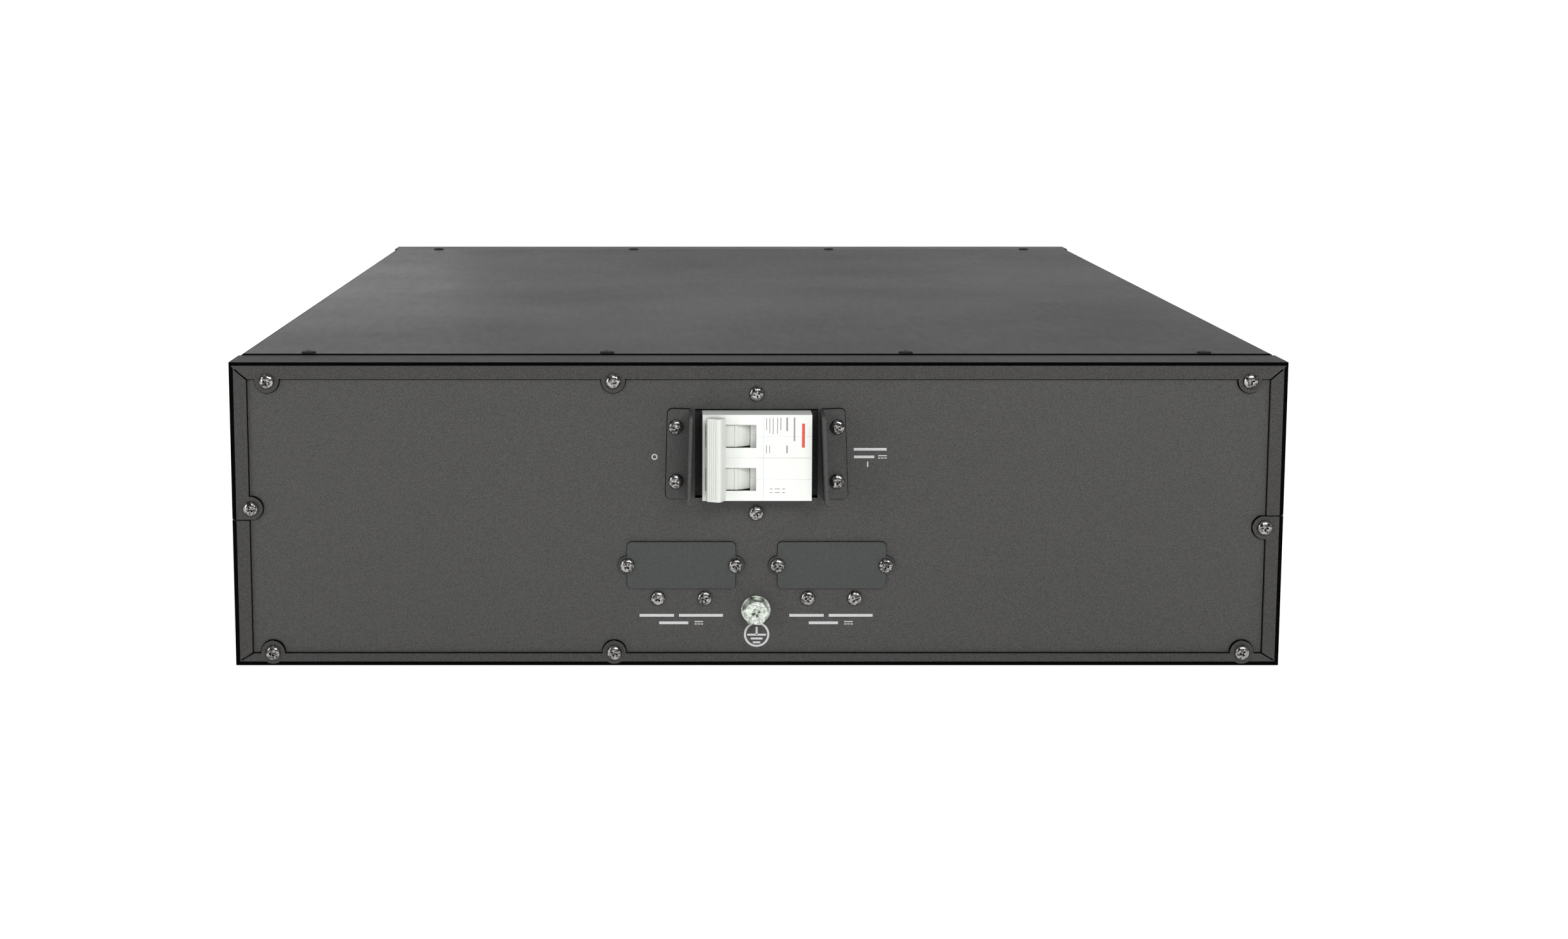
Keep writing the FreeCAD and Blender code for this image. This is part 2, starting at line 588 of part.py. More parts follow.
bracket = new_part("rail_bracket", "fittings_centre", "0", "breaker_centre")
BRACKET_WEB = "(%s + rail_sheet)" % RAIL_WEB
LEG = "(rail_length / 2 + assembly_gap)"
pad(bracket, "XZ", BRACKET_WEB, "bracket_sheet",
    centred("0", "0", "bracket_width", "(2 * %s + 2 * bracket_sheet)" % LEG))
for side in (-1, 1):
    levels = sorted([(0, "%d * %s" % (side, LEG)), (1, "%d * (%s + bracket_sheet)" % (side, LEG))],
                    key=lambda item: side * item[0])
    pad(bracket, "XZ", PANEL_BACK, "%s + bracket_sheet - %s" % (BRACKET_WEB, PANEL_BACK),
        rectangle("-bracket_width / 2", levels[0][1], "bracket_width / 2", levels[1][1]))
    foot = sorted([(0, "%d * %s" % (side, LEG)), (1, "%d * (bracket_screw_reach + bracket_foot / 2)" % side)],
                  key=lambda item: side * item[0])
    pad(bracket, "XZ", PANEL_BACK, "bracket_sheet",
        rectangle("-bracket_width / 2", foot[0][1], "bracket_width / 2", foot[1][1]))
cut(bracket, "XZ", "0", "%s + 3 * bracket_sheet" % PANEL_BACK,
    *[circle("0", "%d * bracket_screw_reach" % side, "screw_shank") for side in (-1, 1)])


# ---- breaker: each pole has a case and a lid, which meet in the middle of the pole ----

SHOULDER = "(%s + shoulder_drop)" % BREAKER_FACE
TOGGLE_DEPTH = "(%s + toggle_drop)" % BREAKER_FACE
ARM_DEPTH = "(%s + arm_drop)" % BREAKER_FACE
POLES = {"upper": 1, "lower": -1}


def pole_outline(wall, rear):
    return [("-(breaker_front / 2 - %s)" % wall, "%s + %s" % (BREAKER_FACE, wall)),
            ("(breaker_front / 2 - %s)" % wall, "%s + %s" % (BREAKER_FACE, wall)),
            ("(breaker_front / 2 - %s)" % wall, "%s + %s" % (SHOULDER, wall)),
            ("(breaker_length / 2 - %s)" % wall, "%s + %s" % (SHOULDER, wall)),
            ("(breaker_length / 2 - %s)" % wall, "%s - %s" % (BREAKER_REAR, rear)),
            ("-(breaker_length / 2 - %s)" % wall, "%s - %s" % (BREAKER_REAR, rear)),
            ("-(breaker_length / 2 - %s)" % wall, "%s + %s" % (SHOULDER, wall)),
            ("-(breaker_front / 2 - %s)" % wall, "%s + %s" % (SHOULDER, wall))]


def pole_half(name, middle, side):
    """Half of one pole's housing: side 1 is the half above the pole's middle, -1 the half below."""
    shell = new_part(name, "fittings_centre", "0", middle)
    low = "0" if side > 0 else "-pole_width / 2"
    pad(shell, "XY", low, "pole_width / 2", pole_outline("0", "0"))
    cavity_low = "-" + BEYOND if side > 0 else "-(pole_width / 2 - moulding_wall)"
    cut(shell, "XY", cavity_low, "pole_width / 2 - moulding_wall + " + BEYOND,
        pole_outline("moulding_wall", "(moulding_wall + rail_notch)"))
    cut(shell, "XY", "-pole_width", "2 * pole_width",
        rectangle("-(rail_width / 2 + assembly_gap)", "%s - rail_notch" % BREAKER_REAR,
                  "(rail_width / 2 + assembly_gap)", "%s + %s" % (BREAKER_REAR, BEYOND)))
    cut(shell, "XZ", "%s - %s" % (BREAKER_FACE, BEYOND), "moulding_wall + 2 * " + BEYOND,
        centred("slot_shift", "0", "slot_width", "slot_height"))
    cut(shell, "XZ", "%s - %s" % (SHOULDER, BEYOND), "moulding_wall + 2 * " + BEYOND,
        *[circle("%d * (breaker_length / 2 - terminal_inset)" % end, "0", "screw_head") for end in (-1, 1)])
    cut(shell, "YZ", "-breaker_length", "2 * breaker_length",
        circle("%s + terminal_drop" % BREAKER_FACE, "0", "lead_radius + screw_clearance"))
    ledge = "(%s + slot_ledge)" % BREAKER_FACE
    for end, beyond in ((-1, "0 - breaker_front / 2 + moulding_wall / 2"),
                        (1, "slot_shift + slot_width / 2 + moulding_wall")):
        slot_end = "slot_shift + %d * slot_width / 2" % end
        inner = "slot_shift + %d * slot_width / 4" % end
        pad(shell, "XY", low, "pole_width / 2",
            [(inner, ledge), (slot_end, ledge), (slot_end, "%s + moulding_wall / 2" % BREAKER_FACE),
             (beyond, "%s + moulding_wall / 2" % BREAKER_FACE), (beyond, "%s + 1.5 * moulding_wall" % ledge),
             (inner, "%s + 1.5 * moulding_wall" % ledge)])
    cut(shell, "XY", cavity_low, "pole_width / 2 - moulding_wall + " + BEYOND,
        circle("slot_shift", TOGGLE_DEPTH, "toggle_drum + toggle_side_gap"))
    pin_low = "toggle_side_gap" if side > 0 else "-(pole_width / 2 - moulding_wall)"
    pad(shell, "XY", pin_low, "pole_width / 2 - moulding_wall - toggle_side_gap",
        circle("slot_shift", TOGGLE_DEPTH, "pin_radius"), circle("arm_shift", ARM_DEPTH, "pin_radius"))


POLE_MIDDLE = {pole: "(breaker_centre + %d * pole_width / 2)" % sign for pole, sign in POLES.items()}
for pole, middle in POLE_MIDDLE.items():
    pole_half("breaker_case_" + pole, middle, 1)
    pole_half("breaker_lid_" + pole, middle, -1)

for pole, middle in POLE_MIDDLE.items():
    toggle = new_part("toggle_" + pole, "fittings_centre + slot_shift", TOGGLE_DEPTH, middle, "0 - toggle_lean")
    TOGGLE_HEIGHT = "(slot_height - 2 * toggle_side_gap)"
    pad(toggle, "XY", "-%s / 2" % TOGGLE_HEIGHT, TOGGLE_HEIGHT, circle("0", "0", "toggle_drum"))
    pad(toggle, "XY", "-%s / 2" % TOGGLE_HEIGHT, TOGGLE_HEIGHT,
        rectangle("-lever_width / 2", "-lever_top", "lever_width / 2", "0"))
    cut(toggle, "XY", "-pole_width", "2 * pole_width", circle("0", "0", "pin_radius + pin_clearance"))

tie = new_part("handle_tie", "fittings_centre + slot_shift", TOGGLE_DEPTH, "breaker_centre", "0 - toggle_lean")
pad(tie, "XY", "-tie_height / 2", "tie_height",
    rectangle("-tie_width / 2", "-tie_outer", "tie_width / 2", "-tie_inner"))
round_edges(tie, "1", lambda middle, along, edge: middle.y < -size("tie_outer") + 0.01)
for sign in POLES.values():
    cut(tie, "XZ", "-lever_top", "lever_top",
        centred("0", "%d * pole_width / 2" % sign, "lever_width", "slot_height - 2 * toggle_side_gap"))

for pole, middle in POLE_MIDDLE.items():
    arm = new_part("contact_arm_" + pole, "fittings_centre + arm_shift", ARM_DEPTH, middle)
    pad(arm, "XY", "-arm_height / 2", "arm_height", circle("0", "0", "arm_eye"))
    pad(arm, "XY", "-arm_height / 2", "arm_height",
        rectangle("-arm_width / 2", "0 - arm_length * 0.8", "arm_width / 2", "0"))
    pad(arm, "XY", "-arm_height / 2", "arm_height",
        rectangle("-arm_width / 2", "-arm_length", "arm_width", "-arm_length * 0.75"))
    cut(arm, "XY", "-pole_width", "2 * pole_width", circle("0", "0", "pin_radius + pin_clearance"))


def in_each_pole(name, master):
    group(name, [copy_of(master, "fittings_centre", "0", middle) for middle in POLE_MIDDLE.values()])


POLE_INSIDE = "(pole_width - 2 * moulding_wall)"
CONTACT_X = "(arm_shift + arm_width + contact_travel)"
CONTACT_DEPTH = "(%s - arm_length)" % ARM_DEPTH
TERMINAL_X = "(breaker_length / 2 - terminal_inset)"
fixed = new_master("fixed_contact")
pad(fixed, "XY", "-arm_height / 2", "arm_height",
    rectangle(CONTACT_X, "%s + 2" % CONTACT_DEPTH, "%s + 2" % CONTACT_X, "%s + 16" % CONTACT_DEPTH))
pad(fixed, "XY", "-%s / 2" % POLE_INSIDE, POLE_INSIDE,
    rectangle(CONTACT_X, "%s + 14" % CONTACT_DEPTH, "%s - 5" % TERMINAL_X, "%s + 16" % CONTACT_DEPTH))
in_each_pole("fixed_contacts", fixed)

chute_plate = new_master("chute_plate")
pad(chute_plate, "XY", "-%s / 2" % POLE_INSIDE, POLE_INSIDE,
    rectangle("%s + 4" % CONTACT_X, "0", "%s + 14" % CONTACT_X, "1"))
group("arc_chutes", [copy_of(chute_plate, "fittings_centre", "%s + %g" % (SHOULDER, 23 + 2.5 * k), middle)
                     for middle in POLE_MIDDLE.values() for k in range(5)])

coil = new_master("coil")
COIL_RADIUS = "(pole_width / 2 - 2 * moulding_wall)"
COIL_DEPTH = "(%s + 24)" % SHOULDER
pad(coil, "YZ", "-26", "16", circle(COIL_DEPTH, "0", COIL_RADIUS))
pad(coil, "XY", "-%s / 2" % POLE_INSIDE, POLE_INSIDE,
    rectangle("-28", "%s + %s - 1" % (COIL_DEPTH, COIL_RADIUS), "-8", "%s + %s + 1" % (COIL_DEPTH, COIL_RADIUS)))
in_each_pole("trip_coils", coil)

clamp = new_master("clamp")
for end in (-1, 1):
    jaw = centred("%d * %s" % (end, TERMINAL_X), "0", "8", POLE_INSIDE)
    pad(clamp, "XZ", "%s + terminal_drop - lead_radius - 3" % BREAKER_FACE, "3", jaw)
clamp_screw = pan_screw("clamp_screw", "0.9 * screw_head", "screw_head_height", "screw_shank", "8")
group("terminal_clamps", [copy_of(clamp, "fittings_centre", "0", middle) for middle in POLE_MIDDLE.values()])
group("terminal_screws", [copy_of(clamp_screw, "fittings_centre + %d * %s" % (end, TERMINAL_X),
                                  "%s + terminal_drop - lead_radius - 11" % BREAKER_FACE, middle)
                          for middle in POLE_MIDDLE.values() for end in (-1, 1)])

clip = new_master("clip")
pad(clip, "XY", "-3", "6",
    [("rail_width / 2 - 3", "%s + rail_sheet" % RAIL_FACE), ("rail_width / 2", "%s + rail_sheet" % RAIL_FACE),
     ("rail_width / 2", BREAKER_REAR), ("rail_width / 2 + 12", BREAKER_REAR),
     ("rail_width / 2 + 12", "%s + rail_sheet" % BREAKER_REAR),
     ("rail_width / 2 - 3", "%s + rail_sheet" % BREAKER_REAR)])
in_each_pole("rail_clips", clip)


# ---- screws of the panel, cover and bezel ----

group("frame_screws", [copy_of(panel_screw, x, "0", z) for x, z, owner in FRAME_SCREWS])
group("rail_bracket_screws", [copy_of(panel_screw, x, PANEL_FACE, z) for x, z in RAIL_SCREWS])
group("guard_screws", [copy_of(panel_screw, x, "%s - guard_sheet" % PANEL_FACE, z) for x, z in GUARD_SCREWS])
group("connector_cover_screws",
      [copy_of(panel_screw, x, "%s - plate_sheet" % PANEL_FACE, z) for x, z in PLATE_SCREWS])
group("connector_bracket_screws", [copy_of(panel_screw, x, PANEL_FACE, z) for x, z in CONNECTOR_SCREWS])
cover_screw = pan_screw("cover_screw", "screw_head", "screw_head_height / 2", "screw_shank", "screw_length")
group("cover_screws", [copy_of(cover_screw, x, y, "case_height", ((1, 0, 0), -90)) for x, y in COVER_SCREWS])
group("bezel_screws",
      [copy_of(panel_screw, x, "%s - sheet_metal" % COVER_END, z) for x, z in BEZEL_SCREWS])
clinch = new_master("clinch_nut")
pad(clinch, "YZ", "0", "ear_nut_height", circle("0", "0", "ear_nut"))
cut(clinch, "YZ", "-" + BEYOND, "ear_nut_height + 2 * " + BEYOND, circle("0", "0", "ear_hole"))
group("ear_nuts", [copy_of(clinch, "%s - sheet_metal - ear_nut_height" % HALF, y, z) for y, z in EAR_HOLES]
      + [copy_of(clinch, "-(%s - sheet_metal)" % HALF, y, z) for y, z in EAR_HOLES])


# ---- batteries: two columns of seven blocks across the case and two of three along it ----

partition = new_part("battery_partition")
PARTITION_HALF = "(%s - sheet_metal - assembly_gap)" % INSIDE
pad(partition, "XZ", "partition_depth", "sheet_metal",
    rectangle("-" + PARTITION_HALF, "sheet_metal", PARTITION_HALF, "partition_height"))
pad(partition, "XY", "sheet_metal", "sheet_metal",
    rectangle("-" + PARTITION_HALF, "partition_depth - bracket_foot", PARTITION_HALF, "partition_depth"))

FLOOR = "(sheet_metal + insulation)"
BLOCK_TOP = "(%s + block_height)" % FLOOR
FIELD_HALF = "(block_length + block_width + 1.5 * block_gap)"
ACROSS_X = ["(0 - %s + block_length / 2)" % FIELD_HALF, "(0 - %s + block_length * 1.5 + block_gap)" % FIELD_HALF]
ALONG_X = ["(%s - block_width * 1.5 - block_gap)" % FIELD_HALF, "(%s - block_width / 2)" % FIELD_HALF]
ROWS_ACROSS = ["(block_start + block_width / 2 + %d * (block_width + block_gap))" % k for k in range(7)]
ROWS_ALONG = ["(block_start + block_length / 2 + %d * (block_length + block_gap))" % k for k in range(3)]
BLOCKS = [(ACROSS_X[0], y, False) for y in ROWS_ACROSS]
BLOCKS += [(ACROSS_X[1], y, False) for y in reversed(ROWS_ACROSS)]
BLOCKS += [(ALONG_X[0], y, True) for y in ROWS_ALONG]
BLOCKS += [(ALONG_X[1], y, True) for y in reversed(ROWS_ALONG)]

insulation_sheet = new_part("insulating_sheet")
pad(insulation_sheet, "XY", "sheet_metal", "insulation",
    rectangle("-" + FIELD_HALF, "block_start", FIELD_HALF, "block_start + 7 * (block_width + block_gap)"))

block = new_master("block")
pad(block, "XY", "0", "block_height", centred("0", "0", "block_length", "block_width"))
round_edges(block, "1.5", lambda middle, along, edge: along_axis(along, 2))


def block_copy(x, y, along, master=block, z=FLOOR):
    return copy_of(master, x, y, z, ((0, 0, 1), 90 if along else 0))


for pair in range(len(BLOCKS) // 2):
    group("battery_pair_%02d" % (pair + 1), [block_copy(*BLOCKS[2 * pair + k]) for k in (0, 1)])

TAB_REACH = "(block_length / 2 - tab_inset)"
tabs = new_master("tab")
pad(tabs, "XY", "0", "tab_height", centred("0", "0", "tab_width", "tab_sheet"))
tab_places = []
for x, y, along in BLOCKS:
    for end in (-1, 1):
        reach = "%d * %s" % (end, TAB_REACH)
        tab_places.append(("%s + %s" % (x, "0" if along else reach), "%s + %s" % (y, reach if along else "0")))
group("battery_terminals", [copy_of(tabs, x, y, BLOCK_TOP) for x, y in tab_places])

# The chain enters each block at one end (0 low, 1 high) and leaves it at the other.
LINK_BASE = "(%s + tab_height)" % BLOCK_TOP
ENTRIES = [0, 1, 0, 1, 0, 1, 0] * 2 + [0, 0, 0, 1, 1, 1]


def strap_outline(x_one, y_one, x_two, y_two):
    return rectangle("min(%s; %s) - link_width / 2" % (x_one, x_two), "min(%s; %s) - link_width / 2" % (y_one, y_two),
                     "max(%s; %s) + link_width / 2" % (x_one, x_two), "max(%s; %s) + link_width / 2" % (y_one, y_two))


links = []
for k in range(len(BLOCKS) - 1):
    leave_x, leave_y = tab_places[2 * k + 1 - ENTRIES[k]]
    enter_x, enter_y = tab_places[2 * (k + 1) + ENTRIES[k + 1]]
    strap = new_master("link")
    pad(strap, "XY", "0", "link_sheet", strap_outline(leave_x, leave_y, enter_x, leave_y))
    pad(strap, "XY", "0", "link_sheet", strap_outline(enter_x, leave_y, enter_x, enter_y))
    links.append(copy_of(strap, "0", "0", LINK_BASE))
group("series_links", links)

stop = new_part("battery_stop")
STOP_DEPTH = "(block_start + 7 * (block_width + block_gap))"
STOP_HALF = "(%s - 2 * ear_nut)" % FIELD_HALF
pad(stop, "XZ", STOP_DEPTH, "sheet_metal",
    rectangle("-" + STOP_HALF, "sheet_metal", STOP_HALF, "%s + block_height / 3" % FLOOR))
pad(stop, "XY", "sheet_metal", "sheet_metal",
    rectangle("-" + STOP_HALF, STOP_DEPTH, STOP_HALF, "%s + lap_length" % STOP_DEPTH))

FOAM_HEIGHT = "%s - %s" % (COVER_UNDER, BLOCK_TOP)
foam = []
for x in ACROSS_X:
    strip = new_master("foam_long")
    pad(strip, "XY", "0", FOAM_HEIGHT,
        rectangle("%s - foam_width / 2" % x, "block_start", "%s + foam_width / 2" % x, STOP_DEPTH))
    foam.append(copy_of(strip, "0", "0", BLOCK_TOP))
for y in ROWS_ALONG:
    strip = new_master("foam_short")
    pad(strip, "XY", "0", FOAM_HEIGHT,
        rectangle("%s - block_width / 2" % ALONG_X[0], "%s - foam_width / 2" % y,
                  "%s + block_width / 2" % ALONG_X[1], "%s + foam_width / 2" % y))
    foam.append(copy_of(strip, "0", "0", BLOCK_TOP))
for side in (-1, 1):
    seal = new_master("window_seal")
    nose_side = "%d * breaker_front / 2" % side
    far_side = "%d * (breaker_front / 2 + seal_width)" % side
    near, far = (nose_side, far_side) if side > 0 else (far_side, nose_side)
    pad(seal, "XZ", PANEL_BACK, "%s - %s" % (SHOULDER, PANEL_BACK),
        rectangle(near, "-pole_width", far, "pole_width"))
    foam.append(copy_of(seal, "fittings_centre", "0", "breaker_centre"))
group("foam_strips", foam)


# ---- leads: straight runs joined by arcs, in the millimetres of the sheet ----

def tube(points, radius):
    """A round lead whose corners are arcs that take 0.45 of the shorter run beside them."""
    edges = []
    start = points[0]
    for before, corner, after in zip(points, points[1:], points[2:]):
        come = (corner - before).normalize()
        leave = (after - corner).normalize()
        reach = 0.45 * min((corner - before).Length, (after - corner).Length)
        half_turn = come.getAngle(leave) / 2
        bend = reach / math.tan(half_turn)
        middle = corner + (leave - come).normalize() * bend * (1 / math.cos(half_turn) - 1)
        arc_start = corner - come * reach
        arc_end = corner + leave * reach
        edges.append(Part.LineSegment(start, arc_start).toShape())
        edges.append(Part.Arc(arc_start, middle, arc_end).toShape())
        start = arc_end
    edges.append(Part.LineSegment(start, points[-1]).toShape())
    path = Part.Wire(edges)
    section = Part.Wire(Part.makeCircle(radius, points[0], points[1] - points[0]))
    lead = path.makePipeShell([section], True, False)
    if abs(lead.Volume / (math.pi * radius ** 2 * path.Length) - 1) > 0.01:
        raise SystemExit("a lead's volume is wrong")
    return lead


def lead_group(name, routes):
    feature = doc.addObject("Part::Feature", name)
    feature.Label = name
    feature.Shape = Part.makeCompound([tube([FreeCAD.Vector(*point) for point in route], size("lead_radius"))
                                       for route in routes])
    place(feature)
    nodes.append(feature)


panel_back = size("sheet_metal") + size("frame_gap") + size("panel_sheet")
terminal_depth = size("sheet_metal") + size("frame_gap") - size("breaker_proud") + size("terminal_drop")
terminal_end = size("breaker_length") / 2 - size("terminal_inset") / 2
pole_levels = [size("breaker_centre") + size("pole_width") / 2, size("breaker_centre") - size("pole_width") / 2]
left_entry = size("fittings_centre") - terminal_end
right_entry = size("fittings_centre") + terminal_end
field_half = size("block_length") + size("block_width") + 1.5 * size("block_gap")
tab_top = size("sheet_metal") + size("insulation") + size("block_height") + size("tab_height")
lead_level = max(tab_top, size("partition_height")) + 4
first_tab = [size("tab_inset") - field_half, size("block_start") + size("block_width") / 2]
last_tab = [field_half - size("block_width") / 2, size("block_start") + size("tab_inset")]
crossing = terminal_depth + 5 * size("lead_radius")
left_drops = [left_entry - 34, left_entry - 20]
lead_group("battery_leads", [
    [(*first_tab, tab_top), (*first_tab, lead_level), (first_tab[0], terminal_depth, lead_level),
     (left_drops[0], terminal_depth, lead_level), (left_drops[0], terminal_depth, pole_levels[0]),
     (left_entry, terminal_depth, pole_levels[0])],
    [(*last_tab, tab_top), (*last_tab, lead_level), (last_tab[0], crossing, lead_level),
     (left_drops[1], crossing, lead_level), (left_drops[1], crossing, pole_levels[1]),
     (left_drops[1], terminal_depth, pole_levels[1]), (left_entry, terminal_depth, pole_levels[1])]])

blade_end = panel_back + 2 * size("connector_wall") + size("connector_depth") - 1
blade_top = size("plate_rise") + size("blade_sheet") / 2
plate_centre = size("fittings_centre") + 0.2 + size("plate_spacing") / 2
connector_routes = []
for pole, (drop, level, reach) in enumerate(((31, 60, 1), (19, 66, -1))):
    blade_x = plate_centre + reach * size("connector_width") / 4
    connector_routes.append(
        [(right_entry, terminal_depth, pole_levels[pole]), (right_entry + drop, terminal_depth, pole_levels[pole]),
         (right_entry + drop, terminal_depth, level), (right_entry + drop, blade_end, level),
         (blade_x, blade_end, level), (blade_x, blade_end, blade_top)])
lead_group("connector_leads", connector_routes)


# ---- checks, then one STEP file for each sub-part ----

doc.recompute()
for item in doc.Objects:
    if {"Invalid", "Error"} & set(item.State):
        raise SystemExit("failed: %s %s" % (item.Name, item.State))
for item in doc.Objects:
    if item.TypeId == "PartDesign::Pocket" and item.Shape.Volume >= item.BaseFeature.Shape.Volume:
        raise SystemExit("cuts nothing: " + item.Name)
for node in nodes:
    if node.Shape.isNull() or not node.Shape.isValid() or not node.Shape.Solids:
        raise SystemExit("bad shape: " + node.Label)
os.makedirs("parts", exist_ok=True)
for node in nodes:
    node.Shape.exportStep("parts/%s.step" % node.Label)
    print("%-26s %3d solids %12.1f mm3" % (node.Label, len(node.Shape.Solids), node.Shape.Volume))
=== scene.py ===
# %% [markdown]
# A rack battery pack, seen from its rear. The sheet metal, breaker, screws and inside come from the packed
# model, which is never moved or resized. This script gives every visible part rounded edges, real screw
# recesses, printed marks and a finish, then sets a camera, soft light and a pale floor.

# %% Load the frame
import json
import math

import bmesh
import bpy
from mathutils import Matrix, Vector


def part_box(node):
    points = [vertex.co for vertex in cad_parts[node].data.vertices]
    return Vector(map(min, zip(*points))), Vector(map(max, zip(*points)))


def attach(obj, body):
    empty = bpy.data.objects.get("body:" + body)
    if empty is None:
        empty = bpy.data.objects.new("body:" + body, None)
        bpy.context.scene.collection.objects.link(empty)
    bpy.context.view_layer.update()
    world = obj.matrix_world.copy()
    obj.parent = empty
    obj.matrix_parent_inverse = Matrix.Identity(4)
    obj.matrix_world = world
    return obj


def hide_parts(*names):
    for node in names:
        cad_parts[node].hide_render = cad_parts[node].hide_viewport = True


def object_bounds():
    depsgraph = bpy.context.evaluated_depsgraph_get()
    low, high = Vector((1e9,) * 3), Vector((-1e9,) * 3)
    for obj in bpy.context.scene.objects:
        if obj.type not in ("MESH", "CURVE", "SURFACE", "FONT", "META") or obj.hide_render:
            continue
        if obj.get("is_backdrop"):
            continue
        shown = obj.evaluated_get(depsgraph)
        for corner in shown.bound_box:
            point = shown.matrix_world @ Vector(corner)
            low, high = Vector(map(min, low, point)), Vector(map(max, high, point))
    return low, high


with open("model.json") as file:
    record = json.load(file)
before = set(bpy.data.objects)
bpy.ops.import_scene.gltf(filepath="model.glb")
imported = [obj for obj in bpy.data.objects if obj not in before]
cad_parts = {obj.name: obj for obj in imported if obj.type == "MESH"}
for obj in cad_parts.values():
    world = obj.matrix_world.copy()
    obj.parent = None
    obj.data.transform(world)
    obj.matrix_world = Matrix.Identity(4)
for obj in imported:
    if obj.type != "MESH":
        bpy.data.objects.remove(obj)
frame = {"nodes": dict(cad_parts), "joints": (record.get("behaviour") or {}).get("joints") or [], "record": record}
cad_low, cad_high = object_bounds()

MM = 0.001
scene = bpy.context.scene
scene.view_settings.view_transform = "Standard"
print("the case measures", [round(side / MM, 1) for side in cad_high - cad_low], "mm")

# %% [markdown]
# The camera comes first, because everything after it is judged through it. The pack is seen almost square on
# from a metre away and a little above, as a person bending down to the rack would see it. A small lens shift
# keeps the upright edges nearly upright; the rest of the look downwards is a plain tilt.

# %% Camera
rear_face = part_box("rear_frame_upper")[0].y
camera_data = bpy.data.cameras.new("camera")
camera = bpy.data.objects.new("camera", camera_data)
scene.collection.objects.link(camera)
camera.location = (-30.9 * MM, rear_face - 959.7 * MM, 254 * MM)
LOOK_DOWN = math.radians(7.76)
camera.rotation_euler = (math.pi / 2 - LOOK_DOWN, 0, 0)
camera_data.sensor_width = 36
camera_data.lens = 53.92
camera_data.shift_x = 0.064
camera_data.shift_y = -0.06
camera_data.clip_start = 0.05
camera_data.clip_end = 60
scene.camera = camera
print("camera", round((camera.location - Vector((0, rear_face, 0.064))).length, 3), "m from the rear panel")

# %% [markdown]
# Two effects are shared by most finishes here, so each is a node group made once. The grain group gives the
# orange-peel and specks of powder coat or moulded plastic. The handling group gives large soft patches where
# a surface has been touched or wiped, and it drives roughness only.


# %% Shared node groups
def open_group(name, inputs, outputs):
    group = bpy.data.node_groups.new(name, "ShaderNodeTree")
    for label, value in inputs:
        socket = group.interface.new_socket(name=label, in_out="INPUT", socket_type="NodeSocketFloat")
        socket.default_value = value
    for label in outputs:
        group.interface.new_socket(name=label, in_out="OUTPUT", socket_type="NodeSocketFloat")
    return group, group.nodes.new("NodeGroupInput"), group.nodes.new("NodeGroupOutput")


def math_node(tree, operation, first, second):
    node = tree.nodes.new("ShaderNodeMath")
    node.operation = operation
    for index, value in enumerate((first, second)):
        if isinstance(value, (int, float)):
            node.inputs[index].default_value = value
        else:
            tree.links.new(value, node.inputs[index])
    return node.outputs[0]


def noise(tree, scale, detail, roughness=0.5, stretch=None):
    """Noise on the object's own coordinates, in features per metre; stretch squeezes it along an axis."""
    where = tree.nodes.new("ShaderNodeTexCoord").outputs["Object"]
    if stretch is not None:
        mapping = tree.nodes.new("ShaderNodeMapping")
        mapping.inputs["Scale"].default_value = stretch
        tree.links.new(where, mapping.inputs["Vector"])
        where = mapping.outputs["Vector"]
    node = tree.nodes.new("ShaderNodeTexNoise")
    node.inputs["Detail"].default_value = detail
    node.inputs["Roughness"].default_value = roughness
    tree.links.new(where, node.inputs["Vector"])
    if isinstance(scale, (int, float)):
        node.inputs["Scale"].default_value = scale
    else:
        tree.links.new(scale, node.inputs["Scale"])
    return node.outputs["Fac"]


def grain_group():
    """Speck is a mask of lighter grains, Height the relief of the same grains on a softer swell."""
    group, given, result = open_group("powder_grain", [("Size", 1500), ("Contrast", 1)], ["Speck", "Height"])
    fine = noise(group, given.outputs["Size"], 3, 0.65)
    coarse = noise(group, math_node(group, "MULTIPLY", given.outputs["Size"], 0.22), 2)
    centred = math_node(group, "SUBTRACT", fine, 0.5)
    pushed = math_node(group, "MULTIPLY", centred, math_node(group, "MULTIPLY", given.outputs["Contrast"], 3))
    speck = group.nodes.new("ShaderNodeClamp")
    group.links.new(math_node(group, "ADD", pushed, 0.5), speck.inputs["Value"])
    group.links.new(speck.outputs[0], result.inputs["Speck"])
    height = math_node(group, "ADD", fine, math_node(group, "MULTIPLY", coarse, 1.5))
    group.links.new(height, result.inputs["Height"])
    return group


def handling_group():
    """Patch is a soft mask of wiped areas and fine streaks across them."""
    group, given, result = open_group("handling", [("Size", 9), ("Streaks", 0.3)], ["Patch"])
    patch = noise(group, given.outputs["Size"], 4, 0.6)
    streak = noise(group, 60, 2, 0.5, stretch=(6, 1, 1))
    shifted = math_node(group, "MULTIPLY", math_node(group, "SUBTRACT", streak, 0.5), given.outputs["Streaks"])
    group.links.new(math_node(group, "ADD", patch, shifted), result.inputs["Patch"])
    return group


GRAIN = grain_group()
HANDLING = handling_group()
print("shared groups:", GRAIN.name, "and", HANDLING.name)

# %% [markdown]
# Each finish is one material with its own numbers: two shades that the grain mixes, a range of roughness that
# handling moves through, and the height of the relief. The shader itself stays in the material. Plain values
# such as metallic or shine are set on the shader, because they are the same all over.


